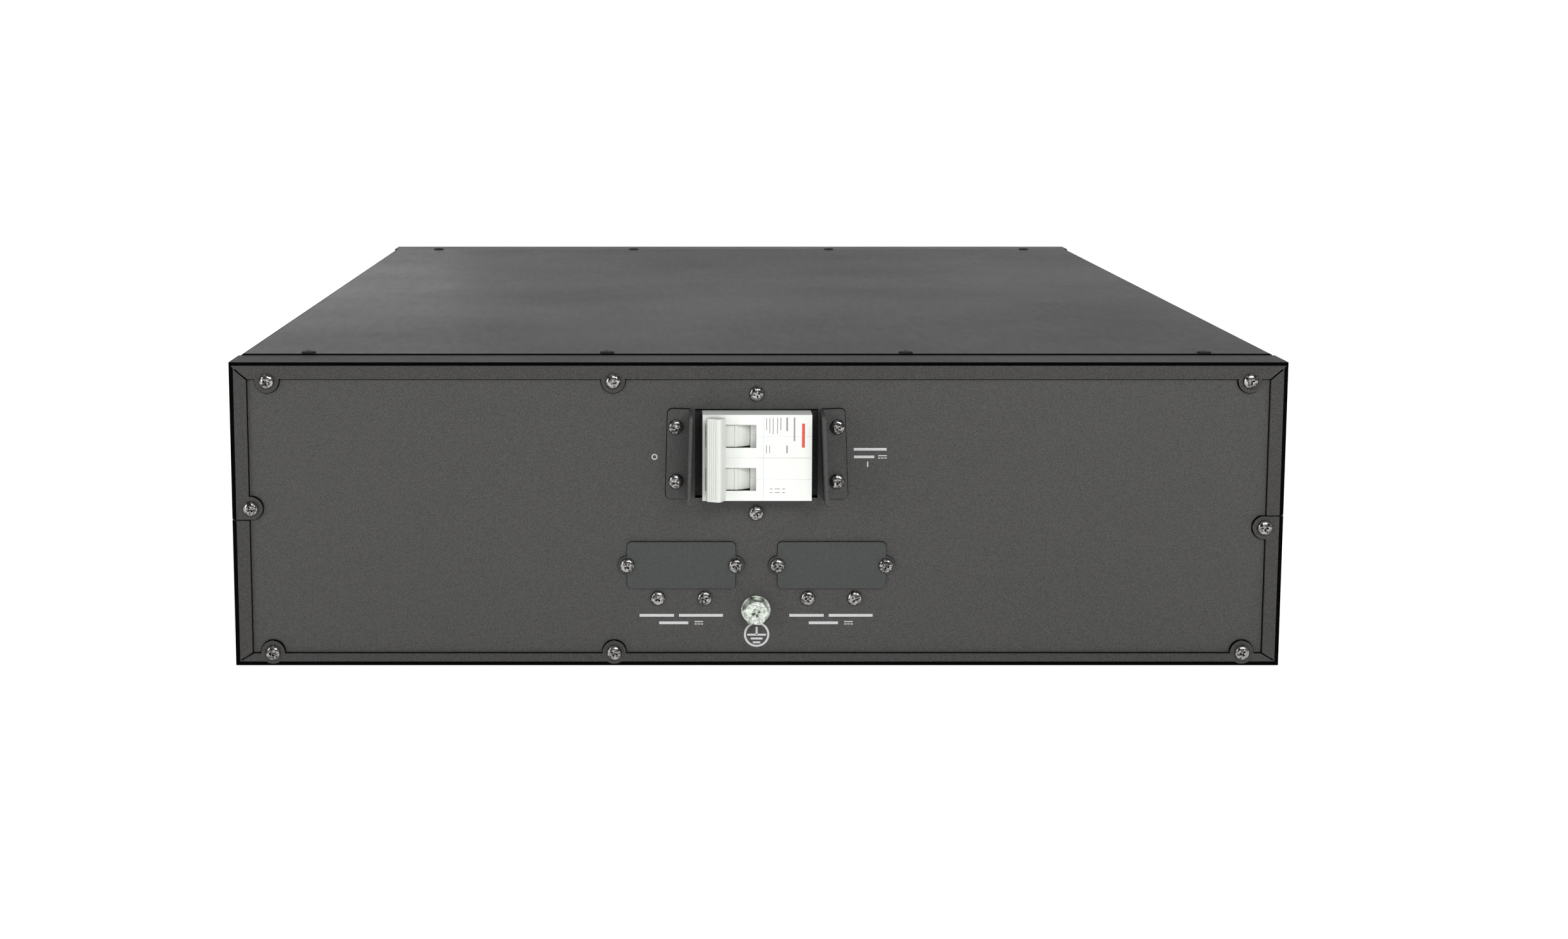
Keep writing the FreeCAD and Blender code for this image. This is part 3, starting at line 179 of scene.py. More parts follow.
# %% One recipe for every finish
def finish(name, dark, light, roughness, grain=1500, contrast=1.0, relief=0.0, metallic=0.0, shine=0.5, patch=9):
    """relief is the height of the grain in mm, roughness runs from wiped to dusty, shine is the mirror share."""
    material = bpy.data.materials.new(name)
    material.use_nodes = True
    tree = material.node_tree
    shader = tree.nodes["Principled BSDF"]
    shader.inputs["Metallic"].default_value = metallic
    shader.inputs["Specular IOR Level"].default_value = shine
    speckle = tree.nodes.new("ShaderNodeGroup")
    speckle.node_tree = GRAIN
    speckle.inputs["Size"].default_value = grain
    speckle.inputs["Contrast"].default_value = contrast
    touched = tree.nodes.new("ShaderNodeGroup")
    touched.node_tree = HANDLING
    touched.inputs["Size"].default_value = patch
    shade = tree.nodes.new("ShaderNodeMix")
    shade.data_type = "RGBA"
    shade.inputs["A"].default_value = (*dark, 1)
    shade.inputs["B"].default_value = (*light, 1)
    tree.links.new(speckle.outputs["Speck"], shade.inputs["Factor"])
    tree.links.new(shade.outputs["Result"], shader.inputs["Base Color"])
    spread = tree.nodes.new("ShaderNodeMapRange")
    spread.inputs["From Min"].default_value = 0.3
    spread.inputs["From Max"].default_value = 0.7
    spread.inputs["To Min"].default_value = roughness[0]
    spread.inputs["To Max"].default_value = roughness[1]
    tree.links.new(touched.outputs["Patch"], spread.inputs["Value"])
    tree.links.new(spread.outputs["Result"], shader.inputs["Roughness"])
    if relief:
        bump = tree.nodes.new("ShaderNodeBump")
        bump.inputs["Distance"].default_value = relief * MM
        bump.inputs["Strength"].default_value = 1
        tree.links.new(speckle.outputs["Height"], bump.inputs["Height"])
        tree.links.new(bump.outputs["Normal"], shader.inputs["Normal"])
    return material


def grey(level, warmth=0.0):
    return (level * (1 + warmth), level, level * (1 - warmth))


PAINT = {
    "panel_paint": finish(
        "panel_paint", grey(0.02, 0.03), grey(0.053, 0.03), (0.5, 0.62), 2300, 1.3, 0.055, shine=0.4),
    "cover_paint": finish(
        "cover_paint", grey(0.014), grey(0.019), (0.34, 0.42), 2600, 0.8, 0.006, shine=0.06, patch=5),
    "plate_paint": finish(
        "plate_paint", (0.024, 0.027, 0.025), (0.038, 0.042, 0.039), (0.4, 0.5), 2300, 1.2, 0.025, shine=0.4),
    "bezel_plastic": finish("bezel_plastic", grey(0.018), grey(0.026), (0.45, 0.55), 1800, 0.8, 0.02),
    "breaker_plastic": finish(
        "breaker_plastic", (0.665, 0.685, 0.65), (0.7, 0.72, 0.685), (0.34, 0.42), 3000, 0.6, 0.003),
    "toggle_plastic": finish(
        "toggle_plastic", (0.56, 0.58, 0.54), (0.61, 0.63, 0.59), (0.3, 0.4), 3000, 0.6, 0.003),
    # The nickel's colour runs from near black to mid grey. Besides the grain, the near-black end is painted
    # reflection of dark surroundings.
    "nickel": finish(
        "nickel", grey(0.04, 0.02), grey(0.36, 0.02), (0.1, 0.24), 900, 2.0, 0.05, 1.0, patch=400),
    "black_screws": finish("black_screws", grey(0.012), grey(0.02), (0.4, 0.5), 2500, 1.0, 0.004, shine=0.2),
    "zinc": finish(
        "zinc", (0.3, 0.33, 0.29), (0.68, 0.72, 0.66), (0.16, 0.32), 700, 1.6, 0.03, 1.0, patch=300),
    "brass": finish(
        "brass", (0.55, 0.38, 0.17), (0.66, 0.47, 0.23), (0.25, 0.4), 2000, 1.0, 0.004, 1.0, patch=200),
    "connector_plastic": finish("connector_plastic", grey(0.02), grey(0.028), (0.4, 0.5), 2500, 0.8, 0.01),
    "block_plastic": finish("block_plastic", grey(0.03), grey(0.04), (0.35, 0.5), 1500, 0.8, 0.01),
    "insulating_film": finish(
        "insulating_film", (0.5, 0.44, 0.32), (0.6, 0.53, 0.4), (0.6, 0.75), 900, 1.0, 0.02),
    "foam": finish("foam", grey(0.006), grey(0.014), (0.85, 0.95), 700, 1.4, 0.15),
    "lead_insulation": finish(
        "lead_insulation", (0.25, 0.012, 0.008), (0.32, 0.016, 0.01), (0.4, 0.5), 2000, 0.6, 0.004),
}
# The frame flanges wear a lighter copy of the panel paint: the lift is painted highlight.
FLANGE_PAINT_HIGHLIT = finish("flange_paint_with_painted_highlight", grey(0.024, 0.03), grey(0.058, 0.03), (0.5, 0.62), 2300, 1.1, 0.05, shine=0.15)
# Painted shade: near-black colour for the folds of the sheet, where the bend turns away from the light.
PAINTED_FOLD_SHADE = finish("painted_fold_shade", grey(0.001), grey(0.003), (0.75, 0.9), 1500, 1.0, 0.01, shine=0)
# Painted shade: black colour for the laps in the seam, the cover's front edge and the strips under sheet edges.
PAINTED_GAP_SHADE = finish("painted_gap_shade", grey(0.002), grey(0.004), (0.8, 0.9), 1500, 1.0, shine=0)
PRINT = finish("marking_ink", grey(0.4), grey(0.5), (0.5, 0.6), 2600, 1.2, 0.004)
PRINT_GREY = finish("breaker_ink", grey(0.2), grey(0.27), (0.4, 0.5), 2600, 1.0)
PARTING = finish("parting_line", grey(0.42), grey(0.5), (0.4, 0.5), 2600, 1.0)
PRINT_RED = finish("breaker_stripe", (0.55, 0.05, 0.035), (0.6, 0.06, 0.045), (0.35, 0.42), 2600, 1.0)
print(len(bpy.data.materials), "finishes")

for entry in frame["record"]["subparts"]:
    mesh = frame["nodes"][entry["node"]].data
    mesh.materials.clear()
    mesh.materials.append(PAINT[entry["material_slot"]])
SLOT = {entry["node"]: entry["material_slot"] for entry in frame["record"]["subparts"]}
BODY = {node: body for body, nodes in frame["record"]["behaviour"]["bodies"].items() for node in nodes}

# %% [markdown]
# Folded and punched sheet never has a knife edge: it is tumbled and then coated, which leaves every edge with
# a small round that catches light. A copy of a frame part is merged and its flat faces are joined, and a Bevel
# modifier then rounds only the edges that really turn.


# %% Rounded copies of sheet parts
def keep(obj, node, body=None, stands_for=()):
    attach(obj, body or BODY[node])
    if stands_for:
        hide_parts(*stands_for)
    return obj


def new_piece(name, made, material, smooth_angle=35):
    """The bmesh becomes an object at the origin, smooth except where it turns sharply."""
    mesh = bpy.data.meshes.new(name)
    made.to_mesh(mesh)
    made.free()
    mesh.materials.append(material)
    mesh.shade_smooth()
    mesh.set_sharp_from_angle(angle=math.radians(smooth_angle))
    obj = bpy.data.objects.new(name, mesh)
    scene.collection.objects.link(obj)
    return obj


def merged(node):
    made = bmesh.new()
    made.from_mesh(frame["nodes"][node].data)
    bmesh.ops.remove_doubles(made, verts=made.verts, dist=0.002 * MM)
    bmesh.ops.dissolve_limit(made, angle_limit=math.radians(0.5), verts=made.verts, edges=made.edges)
    return made


def round_off(obj, width, segments=2):
    bevel = obj.modifiers.new("edge_round", "BEVEL")
    bevel.width = width * MM
    bevel.segments = segments
    bevel.limit_method = "ANGLE"
    bevel.angle_limit = math.radians(40)
    bevel.harden_normals = False
    bevel.use_clamp_overlap = True
    return obj


SHEET = 1.2 * MM
LAP_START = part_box("top_cover")[0].y - SHEET
TURNED = 0.15
UPPER_HALF = 0.5


def in_fold_shade(face):
    """Faces of a folded corner look between two sides and get near-black painted shade. The lower half of the top
    fold still catches light, so it is left out.
    """
    turning = sum(abs(axis) > TURNED for axis in face.normal) > 1
    return turning and not (face.normal.y < -TURNED and TURNED < face.normal.z < UPPER_HALF)


def softened(node, width, paint=None, paint_shade=False):
    """A merged copy with rounded edges. When asked, its folds get near-black painted shade, and its laps and the
    top cover's front edge get black painted shade.
    """
    made = merged(node)
    if paint_shade:
        # The laps seen through the seam and the cover's front edge get black painted shade, and the folds
        # near-black painted shade.
        for face in made.faces:
            middle = face.calc_center_median()
            if middle.y > LAP_START and node.startswith("rear_frame"):
                face.material_index = 2
            elif node == "top_cover" and face.normal.y < -0.99 and middle.y < LAP_START + 2 * SHEET:
                face.material_index = 2
            elif in_fold_shade(face):
                face.material_index = 1
    piece = new_piece(node + "_coated", made, paint or PAINT[SLOT[node]])
    if paint_shade:
        piece.data.materials.append(PAINTED_FOLD_SHADE)
        piece.data.materials.append(PAINTED_GAP_SHADE)
    round_off(piece, width)
    return keep(piece, node, stands_for=[node])


for node in ("rear_frame_upper", "rear_frame_lower"):
    softened(node, 0.25, FLANGE_PAINT_HIGHLIT, True)
softened("top_cover", 0.25, None, True)
ROUNDS = {"rear_panel": 0.2, "base_tray": 0.25, "front_bezel": 0.5, "guard_left": 0.3, "guard_right": 0.3,
          "connector_cover_left": 0.2, "connector_cover_right": 0.2}
for node, width in ROUNDS.items():
    softened(node, width)
print("sheet parts rounded, rear face at", round(rear_face / MM, 2), "mm")

# %% [markdown]
# Where one painted sheet lies on another, a thin black strip of painted shade stands in for the shadow under the
# upper edge. It is made from the front faces of the upper sheet: the rest of the copy is deleted, and its outline
# is pushed outwards by a fraction of a millimetre along the mitre of its two edges, so that the sheet below shows
# a fine dark border.


# %% Painted shade under the edges
MITRE_LIMIT = 0.3


def grown(made, width, held):
    """Push every outline corner of a flat sheet outwards by width, unless held(corner) is true."""
    moves = {}
    for vert in made.verts:
        borders = [edge for edge in vert.link_edges if edge.is_boundary]
        if len(borders) != 2 or held(vert.co):
            continue
        outward = []
        for edge in borders:
            loop = edge.link_loops[0]
            forward = (loop.link_loop_next.vert.co - loop.vert.co).normalized()
            outward.append(forward.cross(edge.link_faces[0].normal))
        mitre = outward[0] + outward[1]
        moves[vert] = mitre * (width / max(1 + outward[0].dot(outward[1]), MITRE_LIMIT))
    for vert, move in moves.items():
        vert.co += move


GUARD_FRONT = 1.25 * MM


def shade_strip_under(node, width, low, high, held=lambda corner: False):
    """A black strip of painted shade between the depths low and high, round the front faces of a sheet part."""
    made = merged(node)
    front = min(vert.co.y for vert in made.verts) if node.startswith(("rear", "connector")) else low - GUARD_FRONT
    away = [face for face in made.faces if face.normal.y > -0.99
            or abs(face.calc_center_median().y - front) > 0.1 * MM]
    bmesh.ops.delete(made, geom=away, context="FACES")
    grown(made, width, held)
    for vert in made.verts:
        vert.co.y = low
    slab = bmesh.ops.extrude_face_region(made, geom=made.faces[:])
    bmesh.ops.translate(made, verts=[item for item in slab["geom"] if isinstance(item, bmesh.types.BMVert)],
                        vec=(0, high - low, 0))
    bmesh.ops.recalc_face_normals(made, faces=made.faces)
    return keep(new_piece(node + "_painted_shade", made, PAINTED_GAP_SHADE), node)


panel_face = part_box("rear_panel")[0].y
half_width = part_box("rear_frame_upper")[1].x
frame_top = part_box("rear_frame_upper")[1].z
FOLD = 2.6 * MM
for node in ("rear_frame_upper", "rear_frame_lower"):
    shade_strip_under(node, 0.35 * MM, panel_face - 0.28 * MM, panel_face - 0.02 * MM,
                lambda corner: abs(corner.x) > half_width - FOLD or not FOLD < corner.z < frame_top - FOLD)
for node in ("guard_left", "guard_right"):
    shade_strip_under(node, 0.3 * MM, panel_face - 0.05 * MM, panel_face)
for node in ("connector_cover_left", "connector_cover_right"):
    shade_strip_under(node, 0.16 * MM, panel_face - 0.05 * MM, panel_face)

# %% [markdown]
# A pan head screw is a dome with a cross recess. The dome is spun from a short profile, and the cross is
# a tapered cutter taken away with a boolean, which is quicker and truer than modelling the walls by hand. One
# screw is made, and a group of screws is that mesh copied to each place, each turned as a driver left it.


# %% Screws
def spun(profile, steps=48):
    """Revolve (radius, height) points about Z into a closed shape whose ends lie on the axis."""
    made = bmesh.new()
    corners = [made.verts.new((radius, 0, height)) for radius, height in profile]
    sides = [made.edges.new(pair) for pair in zip(corners, corners[1:])]
    bmesh.ops.spin(made, geom=corners + sides, axis=(0, 0, 1), cent=(0, 0, 0), steps=steps,
                   angle=2 * math.pi, use_merge=True)
    bmesh.ops.remove_doubles(made, verts=made.verts, dist=0.0005)
    bmesh.ops.recalc_face_normals(made, faces=made.faces)
    return made


def arc_points(radius, flat, height, count):
    """The dome of a pan head: from the crown on the axis round to the rim."""
    points = [(0, height)]
    for step in range(count + 1):
        turn = math.pi / 2 * step / count
        points.append((flat + (radius - flat) * math.sin(turn), height * (0.35 + 0.65 * math.cos(turn))))
    return points


def boolean(base, cutter, operation="DIFFERENCE"):
    """Combine two bmeshes with Blender's exact solver and return the result as a bmesh."""
    holders = []
    for label, made in (("base", base), ("cutter", cutter)):
        mesh = bpy.data.meshes.new(label)
        made.to_mesh(mesh)
        made.free()
        holder = bpy.data.objects.new(label, mesh)
        scene.collection.objects.link(holder)
        holders.append(holder)
    step = holders[0].modifiers.new("step", "BOOLEAN")
    step.operation = operation
    step.object = holders[1]
    step.solver = "EXACT"
    step.use_self = True
    result = bmesh.new()
    result.from_object(holders[0], bpy.context.evaluated_depsgraph_get())
    for holder in holders:
        bpy.data.objects.remove(holder)
    return result


def cross_cutter(reach, width, top, depth):
    """Two crossed blades that narrow downwards, as the recess of a cross head."""
    made = bmesh.new()
    for turn in (0, math.pi / 2):
        blade = bmesh.ops.create_cube(made, size=1)["verts"]
        bmesh.ops.scale(made, verts=blade, vec=(2 * reach, width, depth + 1))
        bmesh.ops.translate(made, verts=blade, vec=(0, 0, top - depth / 2 + 0.5))
        for corner in blade:
            if corner.co.z < top:
                corner.co.x *= 0.45
                corner.co.y *= 0.7
        bmesh.ops.rotate(made, verts=blade, cent=(0, 0, 0), matrix=Matrix.Rotation(turn, 3, "Z"))
    return made


def screw_mesh(name, head, height, shank, length, reach):
    """One screw in metres: head up along +Z from its seat at zero, shank below."""
    dome = arc_points(head, head * 0.35, height, 7)
    body = spun([*dome, (head, 0), (shank, 0), (shank, -length + shank / 2), (shank / 2, -length), (0, -length)])
    cut = boolean(body, cross_cutter(reach, reach * 0.5, height, height * 0.8))
    bmesh.ops.scale(cut, verts=cut.verts, vec=(MM, MM, MM))
    mesh = bpy.data.meshes.new(name)
    cut.to_mesh(mesh)
    cut.free()
    return mesh


def seats(node):
    """The separate solids of a fastener node, each as its lowest and highest corner."""
    made = bmesh.new()
    made.from_mesh(frame["nodes"][node].data)
    bmesh.ops.remove_doubles(made, verts=made.verts, dist=0.002 * MM)
    unseen = set(made.verts)
    found = []
    while unseen:
        island = [unseen.pop()]
        for vert in island:
            for edge in vert.link_edges:
                other = edge.other_vert(vert)
                if other in unseen:
                    unseen.remove(other)
                    island.append(other)
        low = Vector([min(vert.co[axis] for vert in island) for axis in range(3)])
        high = Vector([max(vert.co[axis] for vert in island) for axis in range(3)])
        found.append((low, high))
    made.free()
    return sorted(found, key=lambda pair: tuple(round(value, 5) for value in pair[0]))


def screw_group(node, mesh, facing, head_height):
    """Copies of one screw at every seat of a node. facing is the way the heads look."""
    made = bmesh.new()
    turned = facing.to_track_quat("Z", "Y").to_matrix().to_4x4()
    for index, (low, high) in enumerate(seats(node)):
        centre = (low + high) / 2
        axis = 1 if abs(facing.y) > 0.5 else 2
        top = low[axis] if facing[axis] < 0 else high[axis]
        centre[axis] = top - facing[axis] * head_height * MM
        driver_turn = Matrix.Rotation(math.radians(37 + 71 * index), 4, "Z")
        start = len(made.verts)
        made.from_mesh(mesh)
        made.verts.ensure_lookup_table()
        place = Matrix.Translation(centre) @ turned @ driver_turn
        bmesh.ops.transform(made, matrix=place, verts=made.verts[start:])
    piece = new_piece(node + "_driven", made, PAINT[SLOT[node]], 30)
    return keep(piece, node, stands_for=[node])


TO_REAR = Vector((0, -1, 0))
UP = Vector((0, 0, 1))
pan_head = screw_mesh("pan_head", 3.1, 1.9, 1.5, 5.9, 1.75)
low_head = screw_mesh("low_head", 3.1, 0.95, 1.5, 5.9, 1.6)
for node in ("frame_screws", "guard_screws", "rail_bracket_screws", "connector_cover_screws",
             "connector_bracket_screws", "bezel_screws"):
    screw_group(node, pan_head, TO_REAR, 1.9)
screw_group("cover_screws", low_head, UP, 0.95)
print("screws:", sum(len(seats(node)) for node in SLOT if SLOT[node] == "nickel"))

# %% [markdown]
# The earth bolt is a hexagon head over a spring washer and a plain washer. The hexagon is made with
# create_circle and an extrusion; crossing it with a spun, chamfered disc cuts its corners the way a lathe does.

# %% Earth bolt and washers
bolt_low, bolt_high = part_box("earth_bolt")
washer_low, washer_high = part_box("earth_washers")
bolt_centre = (bolt_low + bolt_high) / 2
head_flats = (bolt_high.z - bolt_low.z) / MM
head_height = (washer_low.y - bolt_low.y) / MM
hexagon = bmesh.new()
across = head_flats / 2 / math.cos(math.pi / 6)
bmesh.ops.create_circle(hexagon, cap_ends=True, segments=6, radius=across)
prism = bmesh.ops.extrude_face_region(hexagon, geom=hexagon.faces[:])
bmesh.ops.translate(hexagon, verts=[item for item in prism["geom"] if isinstance(item, bmesh.types.BMVert)],
                    vec=(0, 0, head_height))
bmesh.ops.recalc_face_normals(hexagon, faces=hexagon.faces)
lathe = spun([(0, head_height), (head_flats / 2 * 0.93, head_height), (across + 0.02, head_height - 1.0),
              (across + 0.02, -0.01), (0, -0.01)], 64)
head = boolean(hexagon, lathe, "INTERSECT")
head = boolean(head, cross_cutter(2.3, 1.15, head_height, 1.8))
shank_length = (bolt_high.y - washer_low.y) / MM
shank = spun([(0, 0.01), (2.98, 0.01), (2.98, 0.4 - shank_length), (2.4, -shank_length), (0, -shank_length)])
shank_mesh = bpy.data.meshes.new("shank")
shank.to_mesh(shank_mesh)
shank.free()
head.from_mesh(shank_mesh)
facing_rear = TO_REAR.to_track_quat("Z", "Y").to_matrix().to_4x4()
driver_turn = Matrix.Rotation(math.radians(22), 4, "Z")
seat_place = Matrix.Translation((bolt_centre.x, washer_low.y, bolt_centre.z))
seat = seat_place @ facing_rear @ driver_turn @ Matrix.Scale(MM, 4)
bmesh.ops.transform(head, matrix=seat, verts=head.verts)
bolt = round_off(new_piece("earth_bolt_head", head, PAINT["zinc"], 25), 0.12)
keep(bolt, "earth_bolt", stands_for=["earth_bolt"])


def washer(inner, outer, low, high):
    edge = 0.12
    made = bmesh.new()
    outline = [(inner, low + edge), (inner + edge, low), (outer - edge, low), (outer, low + edge),
               (outer, high - edge), (outer - edge, high), (inner + edge, high), (inner, high - edge)]
    corners = [made.verts.new((radius, 0, height)) for radius, height in outline]
    sides = [made.edges.new((corners[k - 1], corners[k])) for k in range(len(corners))]
    bmesh.ops.spin(made, geom=corners + sides, axis=(0, 0, 1), cent=(0, 0, 0), steps=64, angle=2 * math.pi,
                   use_merge=True)
    bmesh.ops.remove_doubles(made, verts=made.verts, dist=0.0005)
    bmesh.ops.recalc_face_normals(made, faces=made.faces)
    return made


washer_radius = (washer_high.x - washer_low.x) / 2 / MM
stack = (washer_high.y - washer_low.y) / MM
washers = washer(3.02, washer_radius, -stack, -stack / 2)
spring = washer(3.02, washer_radius * 0.8, -stack / 2, 0)
spring_mesh = bpy.data.meshes.new("spring")
spring.to_mesh(spring_mesh)
spring.free()
washers.from_mesh(spring_mesh)
bmesh.ops.transform(washers, matrix=seat, verts=washers.verts)
keep(new_piece("earth_washers_turned", washers, PAINT["zinc"], 25), "earth_washers", stands_for=["earth_washers"])
print("earth bolt", round(head_flats, 1), "mm across flats")

# %% [markdown]
# The breaker is moulded in pale plastic. Its four housing shells come from the frame with rounded edges. The
# toggles get the raised rib and step that moulded toggles have, and the tie bar gets fine grip ribs, so both
# are remade on the same axis and at the same size.

# %% Breaker housings
for node in ("breaker_case_upper", "breaker_lid_upper", "breaker_case_lower", "breaker_lid_lower"):
    softened(node, 0.12)

# %% Toggles and tie bar
swing = next(joint for joint in frame["joints"] if joint["name"] == "toggle_swing")
pivot = Vector(swing["pos_m"])
lever_lean = math.radians(-23.5)
DRUM, RIDGE = 9.3, 9.62


def on_drum(made, angle, inner, outer, width, low, high):
    """A ridge on the toggle's drum: angle is counted from the lever, lengths are in millimetres."""
    ridge = bmesh.ops.create_cube(made, size=1)["verts"]
    bmesh.ops.scale(made, verts=ridge, vec=(width, outer - inner, high - low))
    bmesh.ops.translate(made, verts=ridge, vec=(0, -(inner + outer) / 2, (low + high) / 2))
    bmesh.ops.rotate(made, verts=ridge, cent=(0, 0, 0), matrix=Matrix.Rotation(math.radians(angle), 3, "Z"))


for node in ("toggle_upper", "toggle_lower"):
    low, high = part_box(node)
    half = (high.z - low.z) / 2 / MM
    made = bmesh.new()
    bmesh.ops.create_cone(made, cap_ends=True, segments=96, radius1=DRUM, radius2=DRUM, depth=2 * half)
    on_drum(made, 0, 6, 18.1, 4.7, -half, half)
    on_drum(made, 37, 8.5, RIDGE, 1.6, -half, half)
    on_drum(made, 77, 8.5, RIDGE, 0.5, -half, half)
    place = Matrix.Translation((pivot.x, pivot.y, (low.z + high.z) / 2)) @ Matrix.Rotation(lever_lean, 4, "Z")
    bmesh.ops.transform(made, matrix=place @ Matrix.Scale(MM, 4), verts=made.verts)
    piece = new_piece(node + "_moulded", made, PAINT["toggle_plastic"])
    keep(round_off(piece, 0.2), node, stands_for=[node])

tie_low, tie_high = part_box("handle_tie")
tie_half = (tie_high.z - tie_low.z) / 2 / MM
made = bmesh.new()
bar = bmesh.ops.create_cube(made, size=1)["verts"]
TIE_WIDTH, TIE_INNER, TIE_OUTER = 6.8, 13.2, 18.9
bmesh.ops.scale(made, verts=bar, vec=(TIE_WIDTH, TIE_OUTER - TIE_INNER, 2 * tie_half))
bmesh.ops.translate(made, verts=bar, vec=(0, -(TIE_INNER + TIE_OUTER) / 2, 0))
long_edges = [edge for edge in made.edges if abs(edge.verts[0].co.z - edge.verts[1].co.z) > 1
              and min(vert.co.y for vert in edge.verts) < -TIE_INNER - 1]
bmesh.ops.bevel(made, geom=long_edges, offset=1.6, segments=5, profile=0.5, affect="EDGES", material=-1)
RIBS = 5
for rib in range(RIBS):
    grip = bmesh.ops.create_cube(made, size=1)["verts"]
    bmesh.ops.scale(made, verts=grip, vec=(0.55, 0.9, 2 * tie_half - 1.2))
    bmesh.ops.translate(made, verts=grip, vec=((rib - (RIBS - 1) / 2) * 0.95, -TIE_OUTER + 0.1, 0))
place = Matrix.Translation((pivot.x, pivot.y, (tie_low.z + tie_high.z) / 2)) @ Matrix.Rotation(lever_lean, 4, "Z")
bmesh.ops.transform(made, matrix=place @ Matrix.Scale(MM, 4), verts=made.verts)
piece = new_piece("handle_tie_moulded", made, PAINT["toggle_plastic"])
keep(round_off(piece, 0.18), "handle_tie", stands_for=["handle_tie"])
print("tie bar", round(2 * tie_half, 1), "mm long with", RIBS, "grip ribs")

# %% [markdown]
# The printed marks are a thin film of ink, 0.04 mm proud of the paint. Words are left out: plain bars stand
# where labels were, and the rest are the usual symbols for off, on, direct current and protective earth.


# %% Printed marks
INK = 0.04


def bar_mark(made, x, z, width, height):
    """A flat bar of ink centred at x and z, in millimetres on the panel."""
    slab = bmesh.ops.create_cube(made, size=1)["verts"]
    bmesh.ops.scale(made, verts=slab, vec=(width, INK, height))
    bmesh.ops.translate(made, verts=slab, vec=(x, -INK / 2, z))


def ring_mark(made, x, z, radius, line, start=0.0, sweep=360.0):
    """A ring or arc of ink; angles run anticlockwise from straight up."""
    half = line / 2
    corners = [made.verts.new((x, -depth, z + radius + side)) for side, depth in
               ((-half, 0), (half, 0), (half, INK), (-half, INK))]
    sides = [made.edges.new((corners[k - 1], corners[k])) for k in range(4)]
    begin = Matrix.Rotation(-math.radians(start), 3, "Y")
    bmesh.ops.rotate(made, verts=corners, cent=(x, 0, z), matrix=begin)
    full = sweep >= 360
    if not full:
        made.faces.new(corners)
    turned = bmesh.ops.spin(made, geom=corners + sides, axis=(0, -1, 0), cent=(x, 0, z), steps=64,
                            angle=math.radians(sweep), use_merge=full)
    if not full:
        ends = [item for item in turned["geom_last"] if isinstance(item, bmesh.types.BMVert)]
        bmesh.ops.contextual_create(made, geom=ends)


def direct_current(made, x, z):
    bar_mark(made, x, z + 0.5, 3.6, 0.42)
    for dash in (-1, 0, 1):
        bar_mark(made, x + dash * 1.3, z - 0.5, 0.95, 0.42)


def printed(name, made, surface, material=None):
    """Lay marks drawn in millimetres on a surface at depth y, facing the rear."""
    bmesh.ops.recalc_face_normals(made, faces=made.faces)
    bmesh.ops.transform(made, matrix=Matrix.Translation((0, surface, 0)) @ Matrix.Scale(MM, 4), verts=made.verts)
    piece = new_piece(name, made, material or PRINT)
    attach(piece, "case")
    return piece


earth = bmesh.new()
EARTH_X, EARTH_Z = -0.3, 13.4
ring_mark(earth, EARTH_X, EARTH_Z, 4.9, 0.83, 24, 312)
bar_mark(earth, EARTH_X, EARTH_Z + 1.6, 0.83, 3.4)
for step, width in enumerate((7.9, 5.0, 3.1)):
    bar_mark(earth, EARTH_X, EARTH_Z - 0.1 - 1.65 * step, width, 0.8)
printed("earth_mark", earth, panel_face)

marks = bmesh.new()
ring_mark(marks, -43, 88.9, 1.0, 0.45)
bar_mark(marks, 45.5, 85.8, 0.5, 2.2)
for x, z, width in ((46.5, 92.1, 13.6), (44.0, 88.9, 8.4)):
    bar_mark(marks, x, z, width, 1.1)
direct_current(marks, 51.6, 88.9)
for plate in ("connector_cover_left", "connector_cover_right"):
    low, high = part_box(plate)
    x = (low.x + high.x) / 2 / MM
    for offset, width in ((-10.3, 14.4), (8.2, 18.4)):
        bar_mark(marks, x + offset, 21.6, width, 1.15)
    bar_mark(marks, x - 3.2, 18.4, 12.2, 1.15)
    direct_current(marks, x + 7.3, 18.4)
printed("panel_marks", marks, panel_face)

breaker_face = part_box("breaker_case_upper")[0].y
face_marks = bmesh.new()
for x, z, width, height in ((14.5, 102.2, 0.6, 9.8), (11.5, 104.3, 0.7, 5.6), (11.5, 93.9, 0.6, 3.2),
                            (8.9, 104.5, 0.35, 5.2), (7.5, 103.7, 0.3, 6.6), (5.8, 103.6, 0.3, 6.8),
                            (4.4, 103.8, 0.3, 6.4), (3.1, 104.4, 0.3, 5.0), (4.4, 93.9, 0.3, 3.4),
                            (3.1, 93.9, 0.3, 3.4), (5.1, 77.4, 1.2, 0.3), (7.6, 77.4, 2.2, 0.3),
                            (10.2, 77.4, 1.2, 0.3), (5.1, 75.9, 1.2, 0.3), (7.6, 75.9, 2.2, 0.3),
                            (10.2, 75.9, 1.2, 0.3)):
    bar_mark(face_marks, x, z, width, height)
printed("breaker_marks", face_marks, breaker_face, PRINT_GREY)
stripe = bmesh.new()
bar_mark(stripe, 18.2, 99.6, 1.2, 10)
printed("breaker_stripe_mark", stripe, breaker_face, PRINT_RED)
parting = bmesh.new()
bar_mark(parting, 1.9, 90.3, 0.13, 35)
bar_mark(parting, 10.6, 90.3, 23, 0.13)
printed("breaker_parting", parting, breaker_face, PARTING)
print("marks printed at", round(panel_face / MM, 2), "mm")

# %% [markdown]
# The floor is a plain pale sheet, and the world a soft white that is darker towards the camera, as for a
# catalogue cut-out on white. One large lamp above and behind the camera gives the panel its even light, a lower
# one on the left gives the screws and edges their small highlights, and a faint one shines along the cover.

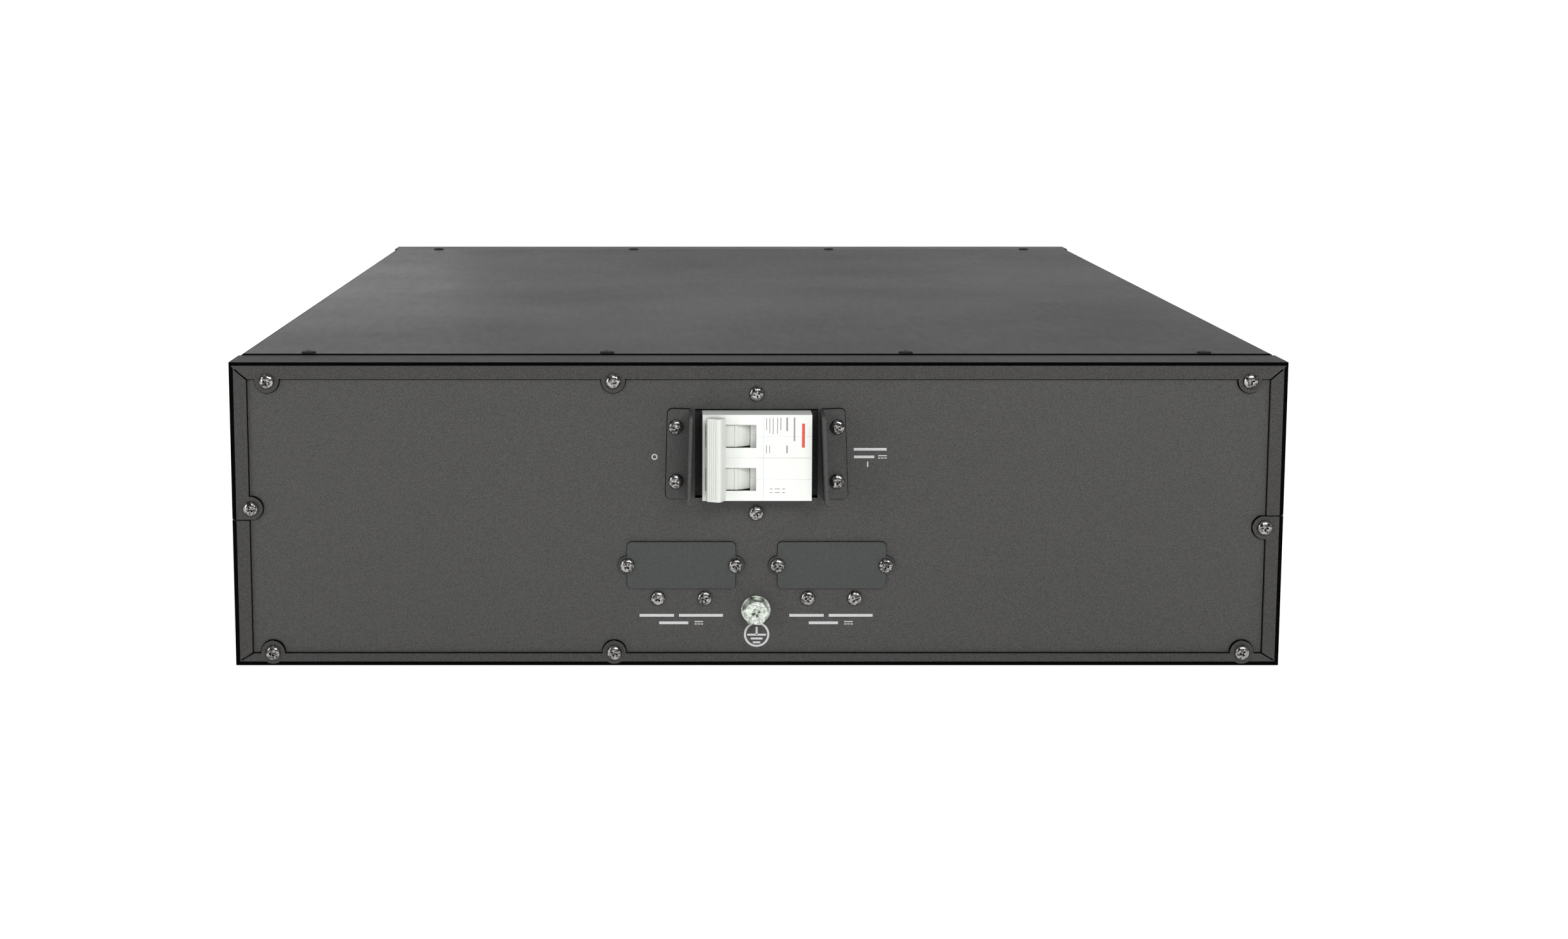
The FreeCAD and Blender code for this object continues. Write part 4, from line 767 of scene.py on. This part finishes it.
# %% Floor and light
floor_mesh = bmesh.new()
bmesh.ops.create_grid(floor_mesh, x_segments=1, y_segments=1, size=60)
floor_data = bpy.data.meshes.new("floor")
floor_mesh.to_mesh(floor_data)
floor_mesh.free()
floor = bpy.data.objects.new("floor", floor_data)
floor.location.z = cad_low.z - 0.0002
scene.collection.objects.link(floor)
floor_paint = bpy.data.materials.new("floor_paper")
floor_paint.use_nodes = True
floor_paint.node_tree.nodes["Principled BSDF"].inputs["Base Color"].default_value = (0.92, 0.92, 0.92, 1)
floor_paint.node_tree.nodes["Principled BSDF"].inputs["Roughness"].default_value = 0.9
floor_paint.node_tree.nodes["Principled BSDF"].inputs["Emission Color"].default_value = (1, 1, 1, 1)
floor_paint.node_tree.nodes["Principled BSDF"].inputs["Emission Strength"].default_value = 0.58
floor_data.materials.append(floor_paint)
floor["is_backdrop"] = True

world = bpy.data.worlds.new("soft_white")
world.use_nodes = True
sky = world.node_tree
toward = sky.nodes.new("ShaderNodeSeparateXYZ")
sky.links.new(sky.nodes.new("ShaderNodeTexCoord").outputs["Generated"], toward.inputs[0])
room = sky.nodes.new("ShaderNodeMapRange")
room.inputs["From Min"].default_value = -1
room.inputs["From Max"].default_value = 0.6
room.inputs["To Min"].default_value = 0.12
room.inputs["To Max"].default_value = 0.75
sky.links.new(toward.outputs["Y"], room.inputs["Value"])
seen = sky.nodes.new("ShaderNodeMix")
sky.links.new(sky.nodes.new("ShaderNodeLightPath").outputs["Is Camera Ray"], seen.inputs["Factor"])
sky.links.new(room.outputs["Result"], seen.inputs["A"])
seen.inputs["B"].default_value = 1
sky.nodes["Background"].inputs["Color"].default_value = (1, 1, 1, 1)
sky.links.new(seen.outputs["Result"], sky.nodes["Background"].inputs["Strength"])
scene.world = world


def lamp(name, place, aim, size, power):
    data = bpy.data.lights.new(name, "AREA")
    data.shape = "RECTANGLE"
    data.size, data.size_y = size
    data.energy = power
    obj = bpy.data.objects.new(name, data)
    obj.location = place
    obj.rotation_euler = (Vector(aim) - Vector(place)).to_track_quat("-Z", "Y").to_euler()
    scene.collection.objects.link(obj)


lamp("key", (0.5, -2.0, 1.1), (0, -0.3, 0.05), (1.4, 0.7), 28)
lamp("fill", (-1.5, -1.5, 0.5), (0, -0.3, 0.06), (0.5, 0.9), 10)
lamp("back_left", (-0.9, 3.2, 0.35), (-0.15, 0.2, 0.13), (0.9, 0.5), 1.5)

# %% [markdown]
# Last, the size of the visual model is written beside that of the frame, so that the two can be compared: looks
# may never make the object bigger than it is.

# %% Sizes and end
low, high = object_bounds()
print("visual size", [round(side / MM, 1) for side in high - low], "mm")
